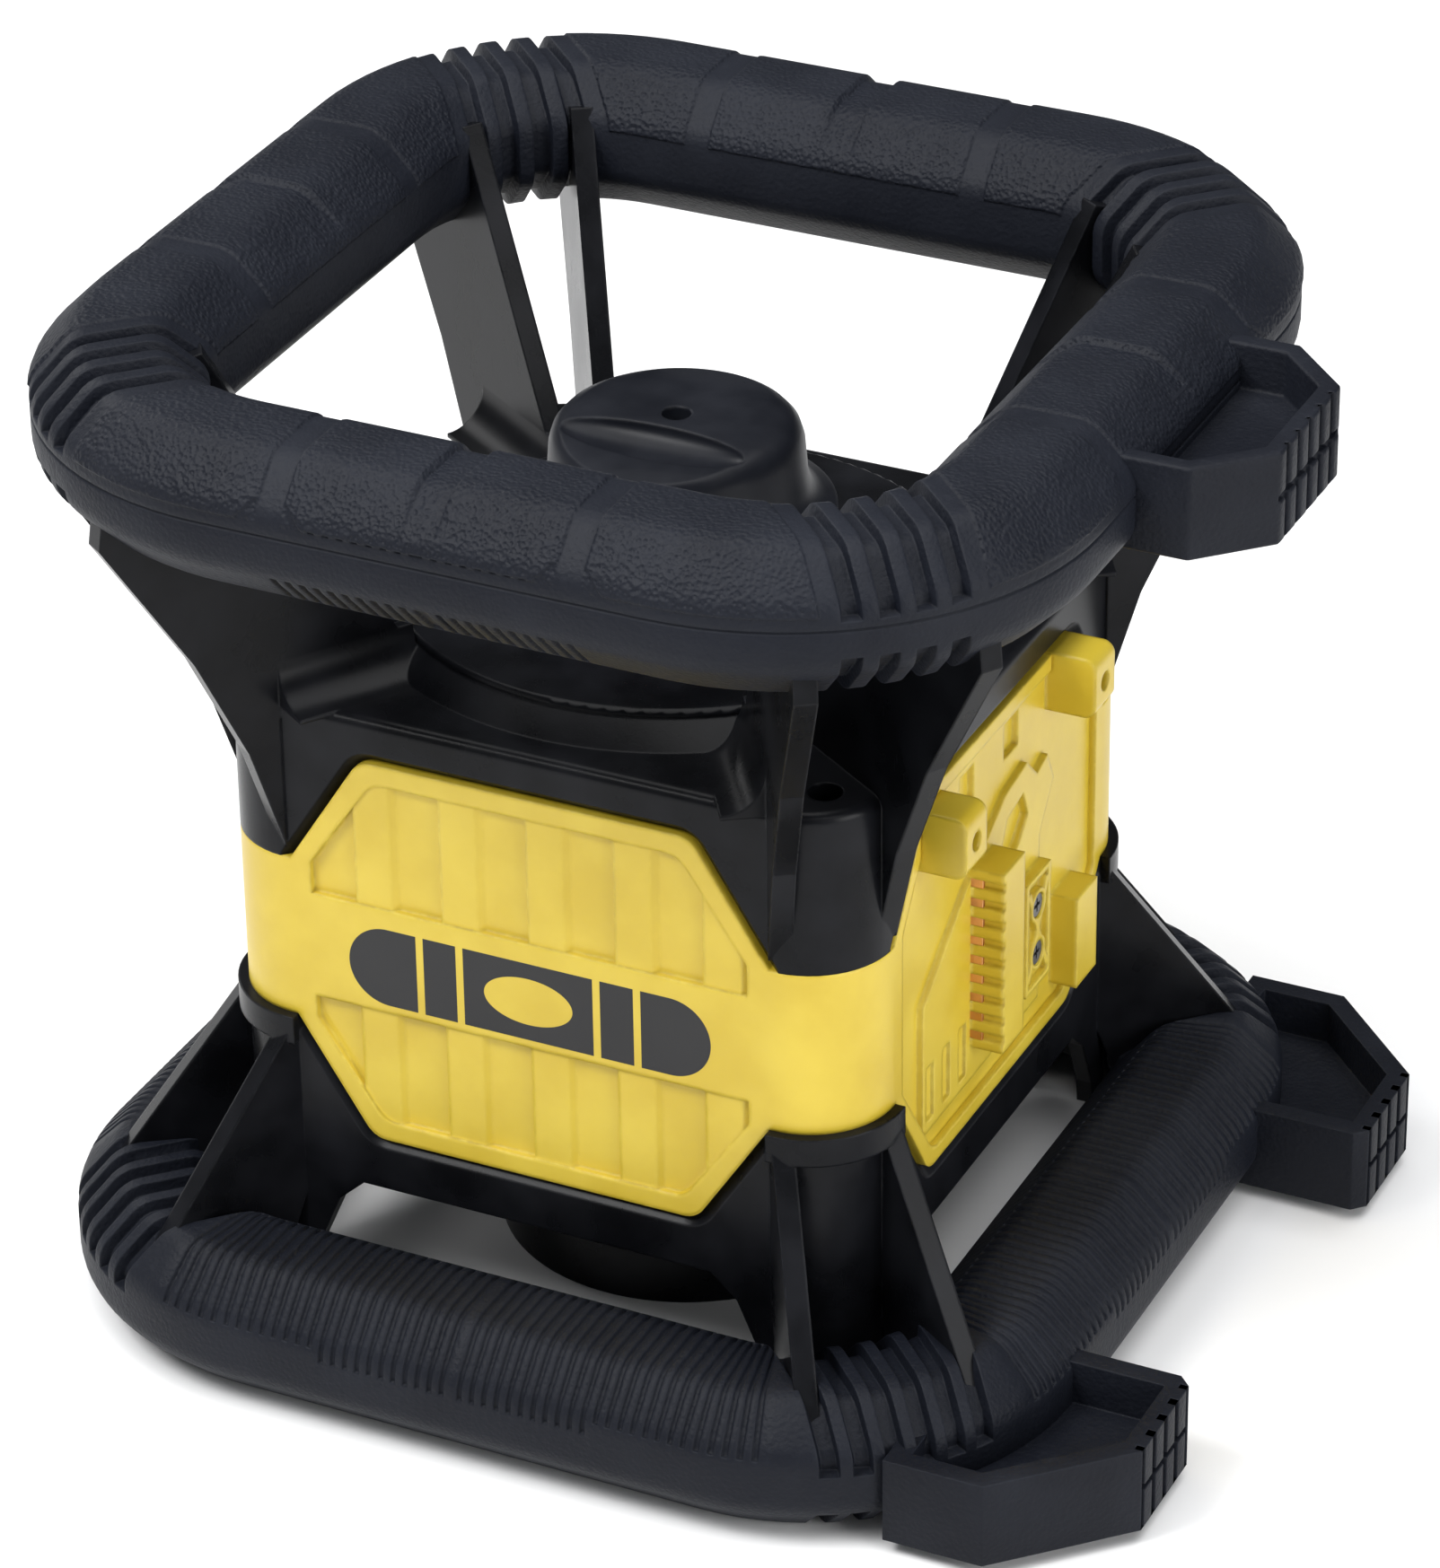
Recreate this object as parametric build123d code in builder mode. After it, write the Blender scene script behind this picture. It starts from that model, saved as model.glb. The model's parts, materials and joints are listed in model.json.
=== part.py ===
from build123d import *
import os
from math import cos, hypot, radians, sin, sqrt

os.makedirs("parts", exist_ok=True)

# ---------------------------------------------------------------- driving dimensions, mm
# Both bumper rings are rounded squares with an eight-sided section.
ring_half = 124.0
ring_inner = 84.0
base_corner = 58.0
handle_corner = 52.0
ring_height = 36.0
ring_bevel = 10.5
base_ring_z = 0.0
handle_ring_z = 210.0

# The stiff core inside each rubber ring.
core_outer = 111.0
core_inner = 97.0
core_low = 12.0
core_height = 12.0

# Body casings share one rounded square outline.
body_half = 80.0
body_corner = 20.0
wall = 4.0
floor_z = 40.0
band_low = 82.0
band_high = 123.0
hex_low = 53.4
hex_high = 152.0
hex_narrow = 40.6
hex_wide = 59.0
roof_z = 163.0
deck_z = 170.0
roof_round = 2.5
floor_bevel = 6.0
arch_reach = 2.5
arch_depth = 7.0
hex_round = 6.0
panel_bevel = 2.6
leg_low = 14.0
deck_radius = 65.5
deck_slope = 6.5
deck_hole = 28.0
channel_round = 10.0
# How far a side panel's outline is pushed when it cuts right through the body.
prism_reach = 120.0

# Diagonal fins that carry the rings, two at each corner.
fin_thickness = 5.2
fin_start = (61.5, 79.0)
fin_root = -34.0
fin_run = (22.5, 34.0)
fin_reach = hypot(*fin_run)

# Central pedestal with the tripod thread.
pedestal_radius = 45.0
pedestal_bore = 41.0
pedestal_floor = 8.0
plate_radius = 38.0
plate_thickness = 3.0
thread_radius = 6.75
insert_radius = 12.0
insert_height = 20.0
boss_radius = 18.0

# Corner screws.
screw_centre = 67.0
screw_boss = 7.5
screw_head = 3.6
screw_shank = 2.0
screw_access = 3.9
screw_gap = 0.2
screw_length = 27.0
upper_screw_seat = 135.0
lower_screw_seat = 62.0

# Side feet.
foot_end = 150.5
foot_rib_pitch = 6.5
foot_rib_depth = 2.0
foot_rib_gap = 2.2
foot_split = 1.6

# Turret.
turret_flange = 41.0
turret_neck = 35.0
turret_screw_circle = 38.2
turret_seat_z = 171.5
window_low = 175.0
window_high = 186.0
skirt_low = 184.0
window_outer = 33.0
window_inner = 30.0
cap_skirt = 36.0
cap_side = 29.5
cap_shoulder = 27.5
cap_top = 209.5
cap_ceiling = 203.5
cap_bore = 25.5
plumb_radius = 3.75

# Levelling gimbal and rotor.
pivot_z = 148.0
pin_radius = 2.0
running_gap = 0.05
gimbal_outer = 44.0
gimbal_inner = 36.0
gimbal_half = 5.0
platform_radius = 32.0
tube_radius = 12.0
tube_bore = 9.0
tube_low = 70.0
laser_length = 42.0
bearing_depth = 5.0
sensor_offset = 23.0
shaft_radius = 5.0
beam_bore = 3.0
pulley_low = 156.0
pulley_high = 162.0
pulley_groove = 1.2
rotor_pulley_radius = 11.0
motor_pulley_radius = 5.0
motor_x = -24.0
head_radius = 13.0
head_low = 172.0
head_high = 190.0

# Levelling screws drive slotted yokes round the spindle tube.
yoke_x_z = 106.5
yoke_y_z = 97.5
yoke_thickness = 3.0
yoke_gap = 0.4
lead_screw_radius = 2.0
motor_size = 13.0
lead_screw_tip = 24.0
motor_near = 50.0
motor_far = 64.0

# Support frame.
frame_half = 64.0
frame_plate_z = 113.0
frame_plate = 4.0
frame_hole = 50.0
post_centre = 54.0
post_radius = 4.0

# Keypad on the -X face and battery dock on the +X face.
keypad_half = (24.0, 20.0)
keypad_z = 103.0
keypad_depth = 3.0
keypad_lap = 3.0
button_gap = 0.35
button_proud = 1.4
dock_inset = 4.0
dock_back = 71.0
lug_reach = 91.0
lug_bore_depth = 10.0
dock_face = 78.5

# Boards stand off the casing's inner walls.
board_stand = 6.4
board_thickness = 1.6


def save(shape, name):
    """Label a finished piece and write it as its own file."""
    shape.label = name
    export_step(shape, "parts/" + name + ".step")


def ring_block(half, inner, corner, low, height, bevel):
    """Closed rounded square ring; its corner arcs are centred a distance called corner from both axes."""
    with BuildPart() as ring:
        with BuildSketch(Plane.XY.offset(low)):
            RectangleRounded(2 * half, 2 * half, half - corner)
            RectangleRounded(2 * inner, 2 * inner, inner - corner, mode=Mode.SUBTRACT)
        extrude(amount=height)
        if bevel:
            levels = ring.edges().group_by(Axis.Z)
            chamfer(levels[0] + levels[-1], length=bevel)
    return ring.part


def body_block(low, high, inset):
    """Solid rounded square of the body's outline, moved in by the inset."""
    half = body_half - inset
    with BuildPart() as block:
        with BuildSketch(Plane.XY.offset(low)):
            RectangleRounded(2 * half, 2 * half, body_corner - inset)
        extrude(amount=high - low)
    return block.part


def hexagon_points(inset):
    """Corners of a side panel: wide at the band, narrow at the top and bottom."""
    wide = hex_wide - inset
    narrow = hex_narrow - inset * 0.6
    return [
        (wide, band_low),
        (wide, band_high),
        (narrow, hex_high - inset),
        (-narrow, hex_high - inset),
        (-wide, band_high),
        (-wide, band_low),
        (-narrow, hex_low + inset),
        (narrow, hex_low + inset),
    ]


def hexagon_prism(plane, inset, depth, both):
    """The side panel's outline, pushed along the plane's normal."""
    with BuildPart() as prism:
        with BuildSketch(plane):
            with BuildLine():
                Polyline(*hexagon_points(inset), close=True)
            make_face()
        extrude(amount=depth, both=both)
        normal_axis = Axis.Y if abs(plane.z_dir.Y) > abs(plane.z_dir.X) else Axis.X
        across = prism.edges().filter_by(normal_axis).group_by(Axis.Z)
        fillet(across[0] + across[-1], radius=hex_round)
    return prism.part


def panel_mouth(plane):
    """Flared cut that bevels the black housings all round a side panel."""
    with BuildPart() as mouth:
        with BuildSketch(plane.offset(body_half - panel_bevel)) as outline:
            with BuildLine():
                Polyline(*hexagon_points(0), close=True)
            make_face()
            levels = outline.vertices().group_by(Axis.Y)
            fillet(levels[0] + levels[-1], radius=hex_round)
        extrude(amount=panel_bevel, taper=-45)
    return mouth.part


def fin_plane(mirror_x, mirror_y, swap):
    """Upright plane of one fin: local x runs outwards from the body, local y is up."""
    start = (fin_start[1], fin_start[0]) if swap else fin_start
    run = (fin_run[1], fin_run[0]) if swap else fin_run
    outward = (mirror_x * run[0] / fin_reach, mirror_y * run[1] / fin_reach, 0)
    normal = Vector(*outward).cross(Vector(0, 0, 1))
    origin = (mirror_x * start[0], mirror_y * start[1], 0)
    return Plane(origin=origin, x_dir=outward, z_dir=normal)


fin_planes = [
    fin_plane(mirror_x, mirror_y, swap)
    for mirror_x in (1, -1)
    for mirror_y in (1, -1)
    for swap in (False, True)
]
corners = [(x, y) for x in (1, -1) for y in (1, -1)]
panel_planes = [
    Plane(origin=(0, 0, 0), x_dir=(-y, x, 0), z_dir=(x, y, 0)) for x, y in ((1, 0), (0, 1), (-1, 0), (0, -1))]

# ---------------------------------------------------------------- middle casing
slat_count = 5
slat_pitch = 21.5
slat_width = 10.7
slat_first = -43.0
slat_bevel = 1.4
slat_step = 0.3
recess_depth = 1.7
slat_height = 1.2
rim_inset = 5.0
slat_bands = [(115.0, hex_high - rim_inset), (hex_low + rim_inset, 88.0)]


def slat_pockets(side):
    """Recess above and below the plain middle band, less the raised slats that stand in it."""
    face = side * body_half
    floor = side * (body_half - recess_depth)
    slat_top = side * (body_half - recess_depth + slat_height)
    with BuildPart() as pockets:
        for low, high in slat_bands:
            with BuildSketch(Plane.XY.offset(low)):
                with Locations((0, (face + floor) / 2)):
                    Rectangle(2 * hex_wide, recess_depth)
                for index in range(slat_count):
                    left = slat_first + index * slat_pitch
                    right = left + slat_width
                    with BuildLine():
                        Polyline((left, floor), (left + slat_step, slat_top), (right - slat_bevel, slat_top),
                                 (right, floor), close=True)
                    make_face(mode=Mode.SUBTRACT)
            extrude(amount=high - low)
        add(hexagon_prism(Plane.XZ, rim_inset, prism_reach, True), mode=Mode.INTERSECT)
    return pockets.part


with BuildPart() as casing_zone:
    with BuildSketch(Plane.XY.offset(band_low)):
        Rectangle(2 * body_half, 2 * body_half)
    extrude(amount=band_high - band_low)
    add(hexagon_prism(Plane.XZ, 0, prism_reach, True))
    add(hexagon_prism(Plane.YZ, 0, prism_reach, True))

front_pockets = slat_pockets(-1)
rear_pockets = slat_pockets(1)

with BuildPart() as middle_casing:
    add(body_block(hex_low, hex_high, 0))
    add(body_block(hex_low, hex_high, wall), mode=Mode.SUBTRACT)
    add(casing_zone.part, mode=Mode.INTERSECT)
    with Locations(*[(x * screw_centre, y * screw_centre, band_low) for x, y in corners]):
        Cylinder(screw_boss, band_high - band_low, align=(Align.CENTER, Align.CENTER, Align.MIN))
        Cylinder(screw_shank, band_high - band_low, align=(Align.CENTER, Align.CENTER, Align.MIN),
                 mode=Mode.SUBTRACT)
    add(front_pockets, mode=Mode.SUBTRACT)
    add(rear_pockets, mode=Mode.SUBTRACT)
    dock_hole_plane = Plane.YZ.offset(body_half - body_corner)
    add(hexagon_prism(dock_hole_plane, dock_inset, prism_reach, False), mode=Mode.SUBTRACT)
    with BuildSketch(Plane.YZ.offset(-body_half - 1)):
        with Locations((0, keypad_z)):
            RectangleRounded(2 * (keypad_half[0] - keypad_lap), 2 * (keypad_half[1] - keypad_lap), 4)
    extrude(amount=2 * wall, mode=Mode.SUBTRACT)
    with Locations(*[(x, body_half - wall, z) for x in (-38, 38) for z in (66, 119)]):
        Cylinder(3, board_stand, rotation=(90, 0, 0), align=(Align.CENTER, Align.CENTER, Align.MIN))
save(middle_casing.part, "middle_casing")

# ---------------------------------------------------------------- upper housing
upper_fin_outer = [(0.0, 126.0), (8.0, 152.0), (20.0, 178.0), (41.0, 212.0)]

with BuildPart() as upper_fins:
    for plane in fin_planes:
        with BuildSketch(plane):
            with BuildLine():
                Polyline(upper_fin_outer)
                Polyline((41.0, 212.0), (39.0, 226.0), (24.0, 232.0), (5.5, 238.0), (fin_root, roof_z + 3),
                         (fin_root, roof_z - wall), (0.0, roof_z - wall), (0.0, 126.0))
            make_face()
        extrude(amount=fin_thickness / 2, both=True)

# Hollow-cornered strips between each fin's foot and the roof of the channel beside it.
with BuildPart() as channel_corners:
    for plane in fin_planes:
        start = plane.origin
        middle = Vector(0, start.Y, 0) if abs(start.Y) > abs(start.X) else Vector(start.X, 0, 0)
        inward = plane.z_dir if plane.z_dir.dot(middle - start) > 0 else -plane.z_dir
        rise = Vector(0, 0, 1)
        foot = start + plane.x_dir * fin_root + rise * (roof_z - 1)
        side = fin_thickness / 2
        top = channel_round + 1
        reach = side + channel_round
        flip = 1 if inward.cross(rise).dot(plane.x_dir) > 0 else -1
        with BuildSketch(Plane(origin=foot, x_dir=inward, z_dir=plane.x_dir * flip)):
            with BuildLine():
                Polyline((reach, 1), (reach, 0), (0, 0), (0, top), (side, top))
                RadiusArc((side, top), (reach, 1), -channel_round)
            make_face()
        extrude(amount=-fin_root * flip)

with BuildPart() as upper_housing:
    add(body_block(band_high, roof_z, 0))
    fillet(upper_housing.edges().group_by(Axis.Z)[-1], radius=roof_round)
    add(body_block(band_high, roof_z - wall, wall), mode=Mode.SUBTRACT)
    for plane in (Plane.XZ, Plane.YZ):
        add(hexagon_prism(plane, 0, prism_reach, True), mode=Mode.SUBTRACT)
    for plane in panel_planes:
        add(panel_mouth(plane), mode=Mode.SUBTRACT)
    with BuildSketch(Plane.XY.offset(roof_z - wall)):
        Circle(deck_radius)
    extrude(amount=deck_z - roof_z + wall)
    fillet(upper_housing.edges().group_by(Axis.Z)[-1], radius=roof_round / 2)
    with BuildSketch(Plane.XZ):
        with BuildLine():
            slope_end = deck_radius + deck_slope
            Polyline((deck_radius - 1, roof_z - 1), (slope_end, roof_z - 1), (slope_end, roof_z),
                     (deck_radius, deck_z - 2), (deck_radius - 1, deck_z - 2), close=True)
        make_face()
    revolve(axis=Axis.Z)
    with BuildSketch(Plane.XY.offset(roof_z - wall)):
        Circle(deck_radius - wall)
    extrude(amount=deck_z - roof_z, mode=Mode.SUBTRACT)
    with BuildSketch(Plane.XY.offset(roof_z - wall)):
        Circle(deck_hole)
    extrude(amount=deck_z - roof_z + wall, mode=Mode.SUBTRACT)
    add(upper_fins.part)
    add(channel_corners.part)
    add(ring_block(core_outer, core_inner, handle_corner, handle_ring_z + core_low, core_height, 0))
    with Locations(*[(x * screw_centre, y * screw_centre, band_high) for x, y in corners]):
        Cylinder(screw_boss, roof_z - band_high, align=(Align.CENTER, Align.CENTER, Align.MIN))
    with Locations(*[(x * screw_centre, y * screw_centre, roof_z) for x, y in corners]):
        CounterBoreHole(screw_shank + screw_gap, screw_access, roof_z - upper_screw_seat, roof_z - band_high)
    add(middle_casing.part, mode=Mode.SUBTRACT)
save(upper_housing.part, "upper_housing")

# ---------------------------------------------------------------- lower housing
# Arch between the corner legs of the lower housing, seen from each side.
leg_arch = [(58, 0), (56.5, 20), (50.5, 34), (44, floor_z)]
leg_arch += [(-across, up) for across, up in reversed(leg_arch)]

with BuildPart() as corner_legs:
    add(body_block(leg_low, floor_z + floor_bevel, 0))
    add(body_block(leg_low, floor_z + floor_bevel, wall), mode=Mode.SUBTRACT)
    for plane in (Plane.XZ, Plane.YZ):
        with BuildSketch(plane):
            with BuildLine():
                Polyline(*leg_arch, close=True)
            make_face()
        extrude(amount=prism_reach, both=True, mode=Mode.SUBTRACT)

with BuildPart() as lower_fins:
    for plane in fin_planes:
        with BuildSketch(plane):
            with BuildLine():
                Polyline((0.0, 81.0), (41.0, 24.0), (38.0, 14.0), (8.0, 11.0), (-3.0, floor_z),
                         (-3.0, 81.0), close=True)
            make_face()
        extrude(amount=fin_thickness / 2, both=True)

with BuildPart() as lower_housing:
    add(body_block(floor_z, band_low, 0))
    chamfer(lower_housing.edges().group_by(Axis.Z)[0], length=floor_bevel)
    add(corner_legs.part)
    with BuildSketch(Plane.XY.offset(band_low - arch_depth)):
        arch_half = body_half + arch_reach
        RectangleRounded(2 * arch_half, 2 * arch_half, body_corner + arch_reach)
        Rectangle(2 * hex_wide, 4 * body_half, mode=Mode.SUBTRACT)
        Rectangle(4 * body_half, 2 * hex_wide, mode=Mode.SUBTRACT)
    extrude(amount=arch_depth)
    add(body_block(floor_z + wall, band_low, wall), mode=Mode.SUBTRACT)
    for plane in (Plane.XZ, Plane.YZ):
        add(hexagon_prism(plane, 0, prism_reach, True), mode=Mode.SUBTRACT)
    for plane in panel_planes:
        add(panel_mouth(plane), mode=Mode.SUBTRACT)
    with BuildSketch(Plane.XY.offset(plate_thickness)):
        Circle(pedestal_radius)
    extrude(amount=floor_z - plate_thickness)
    with BuildSketch(Plane.XY.offset(pedestal_floor)):
        Circle(pedestal_bore)
        Circle(boss_radius, mode=Mode.SUBTRACT)
    extrude(amount=floor_z + wall - pedestal_floor, mode=Mode.SUBTRACT)
    with BuildSketch(Plane.XY.offset(insert_height + wall)):
        Circle(boss_radius + 0.01)
    extrude(amount=floor_z, mode=Mode.SUBTRACT)
    with BuildSketch(Plane.XY.offset(plate_thickness)):
        Circle(insert_radius)
    extrude(amount=insert_height - plate_thickness, mode=Mode.SUBTRACT)
    with BuildSketch(Plane.XY):
        Circle(pedestal_radius)
        Circle(plate_radius, mode=Mode.SUBTRACT)
    extrude(amount=plate_thickness)
    add(lower_fins.part)
    add(ring_block(core_outer, core_inner, base_corner, base_ring_z + core_low, core_height, 0))
    with Locations(*[(x * screw_centre, y * screw_centre, floor_z) for x, y in corners]):
        Cylinder(screw_boss, band_low - floor_z, align=(Align.CENTER, Align.CENTER, Align.MIN))
    for x, y in corners:
        with Locations(Plane((x * screw_centre, y * screw_centre, floor_z), z_dir=(0, 0, -1))):
            CounterBoreHole(
                screw_shank + screw_gap, screw_access, lower_screw_seat - floor_z, band_low - floor_z)
    add(middle_casing.part, mode=Mode.SUBTRACT)
save(lower_housing.part, "lower_housing")

# ---------------------------------------------------------------- rubber bumper rings and feet


def rubber_ring(ring, housing):
    """Moulded rubber over the housing's ring core and fin tips."""
    with BuildPart() as grip:
        add(ring)
        add(housing, mode=Mode.SUBTRACT)
    return grip.part


handle_ring = ring_block(ring_half, ring_inner, handle_corner, handle_ring_z, ring_height, ring_bevel)
base_ring = ring_block(ring_half, ring_inner, base_corner, base_ring_z, ring_height, ring_bevel)
save(rubber_ring(handle_ring, upper_housing.part), "handle_grip")
save(rubber_ring(base_ring, lower_housing.part), "base_grip")


def side_foot(outline, low, high, pocket, pocket_floor, rib_centres, ring):
    """Foot that stands out from a ring's +X side, with a pocket on top and a ribbed end."""
    middle = (low + high) / 2
    with BuildPart() as foot:
        with BuildSketch(Plane.XY.offset(low)):
            with BuildLine():
                Polyline(*outline, close=True)
            make_face()
        extrude(amount=high - low)
        with BuildSketch(Plane.XY.offset(pocket_floor)):
            with BuildLine():
                Polyline(*pocket, close=True)
            make_face()
        extrude(amount=high - pocket_floor, mode=Mode.SUBTRACT)
        with Locations(*[(foot_end, y, middle) for y in rib_centres]):
            Box(2 * foot_rib_depth, foot_rib_gap, high - low + 1, mode=Mode.SUBTRACT)
        with Locations((foot_end, 0, middle)):
            Box(2 * foot_rib_depth, 4 * ring_half, foot_split, mode=Mode.SUBTRACT)
        add(ring, mode=Mode.SUBTRACT)
    solids_by_reach = foot.part.solids().sort_by(Axis.X)
    return Part(solids_by_reach[-1].wrapped)


handle_outline = [
    (112, -36), (foot_end - 4, -21.5), (foot_end, -18), (foot_end, 18), (foot_end - 4, 21.5), (112, 36)]
handle_pocket = [(126, -17), (139, -14), (142, -9), (142, 9), (139, 14), (126, 17)]
handle_ribs = [foot_rib_pitch * (index - 2) for index in range(5)]
save(side_foot(handle_outline, 217, 239, handle_pocket, 228, handle_ribs, handle_ring), "handle_foot")

base_outline = [
    (112, 54), (foot_end - 3, 54), (foot_end, 57), (foot_end, 84), (foot_end - 3, 88), (90, 110.7), (88, 90)]
base_pocket = [(126, 63), (138, 62), (143.5, 68), (143, 74.6), (126, 82)]
base_ribs = [70.5 + foot_rib_pitch * (index - 1.5) for index in range(4)]
for name, side in (("front_base_foot", -1), ("rear_base_foot", 1)):
    outline = [(x, side * y) for x, y in base_outline]
    pocket = [(x, side * y) for x, y in base_pocket]
    ribs = [side * y for y in base_ribs]
    save(side_foot(outline, 3.6, 25, pocket, 14, ribs, base_ring), name)

# ---------------------------------------------------------------- pedestal fittings
with BuildPart() as base_plate:
    with BuildSketch():
        Circle(plate_radius)
        Circle(insert_radius, mode=Mode.SUBTRACT)
        with PolarLocations(28, 3):
            Circle(1.7, mode=Mode.SUBTRACT)
    extrude(amount=plate_thickness)
save(base_plate.part, "base_plate")

with BuildPart() as thread_insert:
    with BuildSketch():
        Circle(insert_radius)
        Circle(thread_radius, mode=Mode.SUBTRACT)
    extrude(amount=insert_height)
save(thread_insert.part, "thread_insert")


def screw(head_radius, head_height, shank_radius, shank_length):
    """Pan head screw, tip at z 0, with a cross recess in its head."""
    top = shank_length + head_height
    with BuildPart() as fastener:
        Cylinder(shank_radius, shank_length, align=(Align.CENTER, Align.CENTER, Align.MIN))
        with Locations((0, 0, shank_length)):
            Cylinder(head_radius, head_height, align=(Align.CENTER, Align.CENTER, Align.MIN))
        with Locations((0, 0, top)):
            Box(head_radius * 1.2, head_radius * 0.3, head_height, mode=Mode.SUBTRACT)
            Box(head_radius * 0.3, head_radius * 1.2, head_height, mode=Mode.SUBTRACT)
    return fastener.part


def screw_group(fastener, places):
    """One fastener repeated at each place, kept as separate solids."""
    return Compound(children=[fastener.moved(place) for place in places])


housing_screw = screw(screw_head - 0.1, 3.0, screw_shank, screw_length)
upper_tip = upper_screw_seat - screw_length
lower_tip = lower_screw_seat + screw_length
upper_places = [Location((x * screw_centre, y * screw_centre, upper_tip)) for x, y in corners]
lower_places = [Location((x * screw_centre, y * screw_centre, lower_tip), (180, 0, 0)) for x, y in corners]
save(screw_group(housing_screw, upper_places), "housing_screws")
save(screw_group(housing_screw, lower_places), "base_screws")

# ---------------------------------------------------------------- turret
turret_screw_places = [
    Location((cos(radians(angle)) * turret_screw_circle, sin(radians(angle)) * turret_screw_circle, deck_z))
    for angle in (45, 135, 225, 315)
]

with BuildPart() as turret_seal:
    with BuildSketch(Plane.XY.offset(deck_z)):
        Circle(turret_neck)
        Circle(deck_hole, mode=Mode.SUBTRACT)
    extrude(amount=turret_seat_z - deck_z)
save(turret_seal.part, "turret_seal")

with BuildPart() as turret_base:
    with BuildSketch(Plane.XZ):
        with BuildLine():
            Polyline((deck_hole, turret_seat_z), (turret_neck, turret_seat_z), (turret_neck, deck_z),
                     (turret_flange, deck_z), (turret_flange, 172.5), (turret_neck, 172.5),
                     (turret_neck, 177), (window_outer, 177), (window_outer, window_low),
                     (deck_hole, window_low), close=True)
        make_face()
    revolve(axis=Axis.Z)
    with Locations(*turret_screw_places):
        Cylinder(1.5, 12, mode=Mode.SUBTRACT)
save(turret_base.part, "turret_base")

with BuildPart() as turret_window:
    with BuildSketch(Plane.XY.offset(window_low)):
        Circle(window_outer)
        Circle(window_inner, mode=Mode.SUBTRACT)
    extrude(amount=window_high - window_low)
save(turret_window.part, "turret_window")

turret_screw = screw(2.7, 1.6, 1.5, 2.5)
save(screw_group(turret_screw, turret_screw_places), "turret_screws")

with BuildPart() as turret_cap:
    with BuildSketch(Plane.XZ):
        with BuildLine():
            Polyline((0, cap_ceiling), (cap_bore, cap_ceiling), (cap_bore, window_high),
                     (window_outer, window_high), (window_outer, skirt_low), (cap_skirt, skirt_low),
                     (cap_skirt, 187))
            ThreePointArc((cap_skirt, 187), (31.2, 189.2), (cap_side, 193))
            Line((cap_side, 193), (cap_shoulder + 1.2, 203))
            ThreePointArc((cap_shoulder + 1.2, 203), (26.6, 207.6), (22.5, cap_top))
            Polyline((22.5, cap_top), (0, cap_top), (0, cap_ceiling))
        make_face()
    revolve(axis=Axis.Z)
    for side in (-1, 1):
        with BuildSketch(Plane.XY.offset(205.5)):
            with Locations((0, side * 50)):
                Circle(44)
        extrude(amount=10, mode=Mode.SUBTRACT)
    Cylinder(plumb_radius, 500, mode=Mode.SUBTRACT)
save(turret_cap.part, "turret_cap")

with BuildPart() as plumb_window:
    with BuildSketch(Plane.XY.offset(cap_ceiling)):
        Circle(plumb_radius)
    extrude(amount=2)
save(plumb_window.part, "plumb_window")

# ---------------------------------------------------------------- battery dock on the +X face
dock_screw_places = [(14.8, 93.5), (14.8, 80.8)]
lug_places = [(-40.0, 142.0), (33.0, 145.0)]
lug_width = 11.0
lug_height = 15.0
lug_round = 3.0
contact_size = 2.2
contact_levels = [76.5 + 5.0 * index for index in range(9)]
# Each raised block: middle along Y, middle along Z, how far it stands out, width, height.
dock_blocks = [(-11.5, 96.5, 9.5, 12.0, 47.0), (38.0, 74.0, 7.0, 12.0, 24.0), (14.8, 87.0, 4.5, 14.0, 30.0)]

with BuildPart() as battery_lugs:
    with Locations(*[(body_half - 2, y, z) for y, z in lug_places]):
        Box(lug_reach - body_half + 2, lug_width, lug_height, align=(Align.MIN, Align.CENTER, Align.CENTER))
    lug_ends = battery_lugs.faces().group_by(Axis.X)[-1]
    fillet([edge for end in lug_ends for edge in end.edges().filter_by(Axis.Y)], radius=lug_round)

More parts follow.
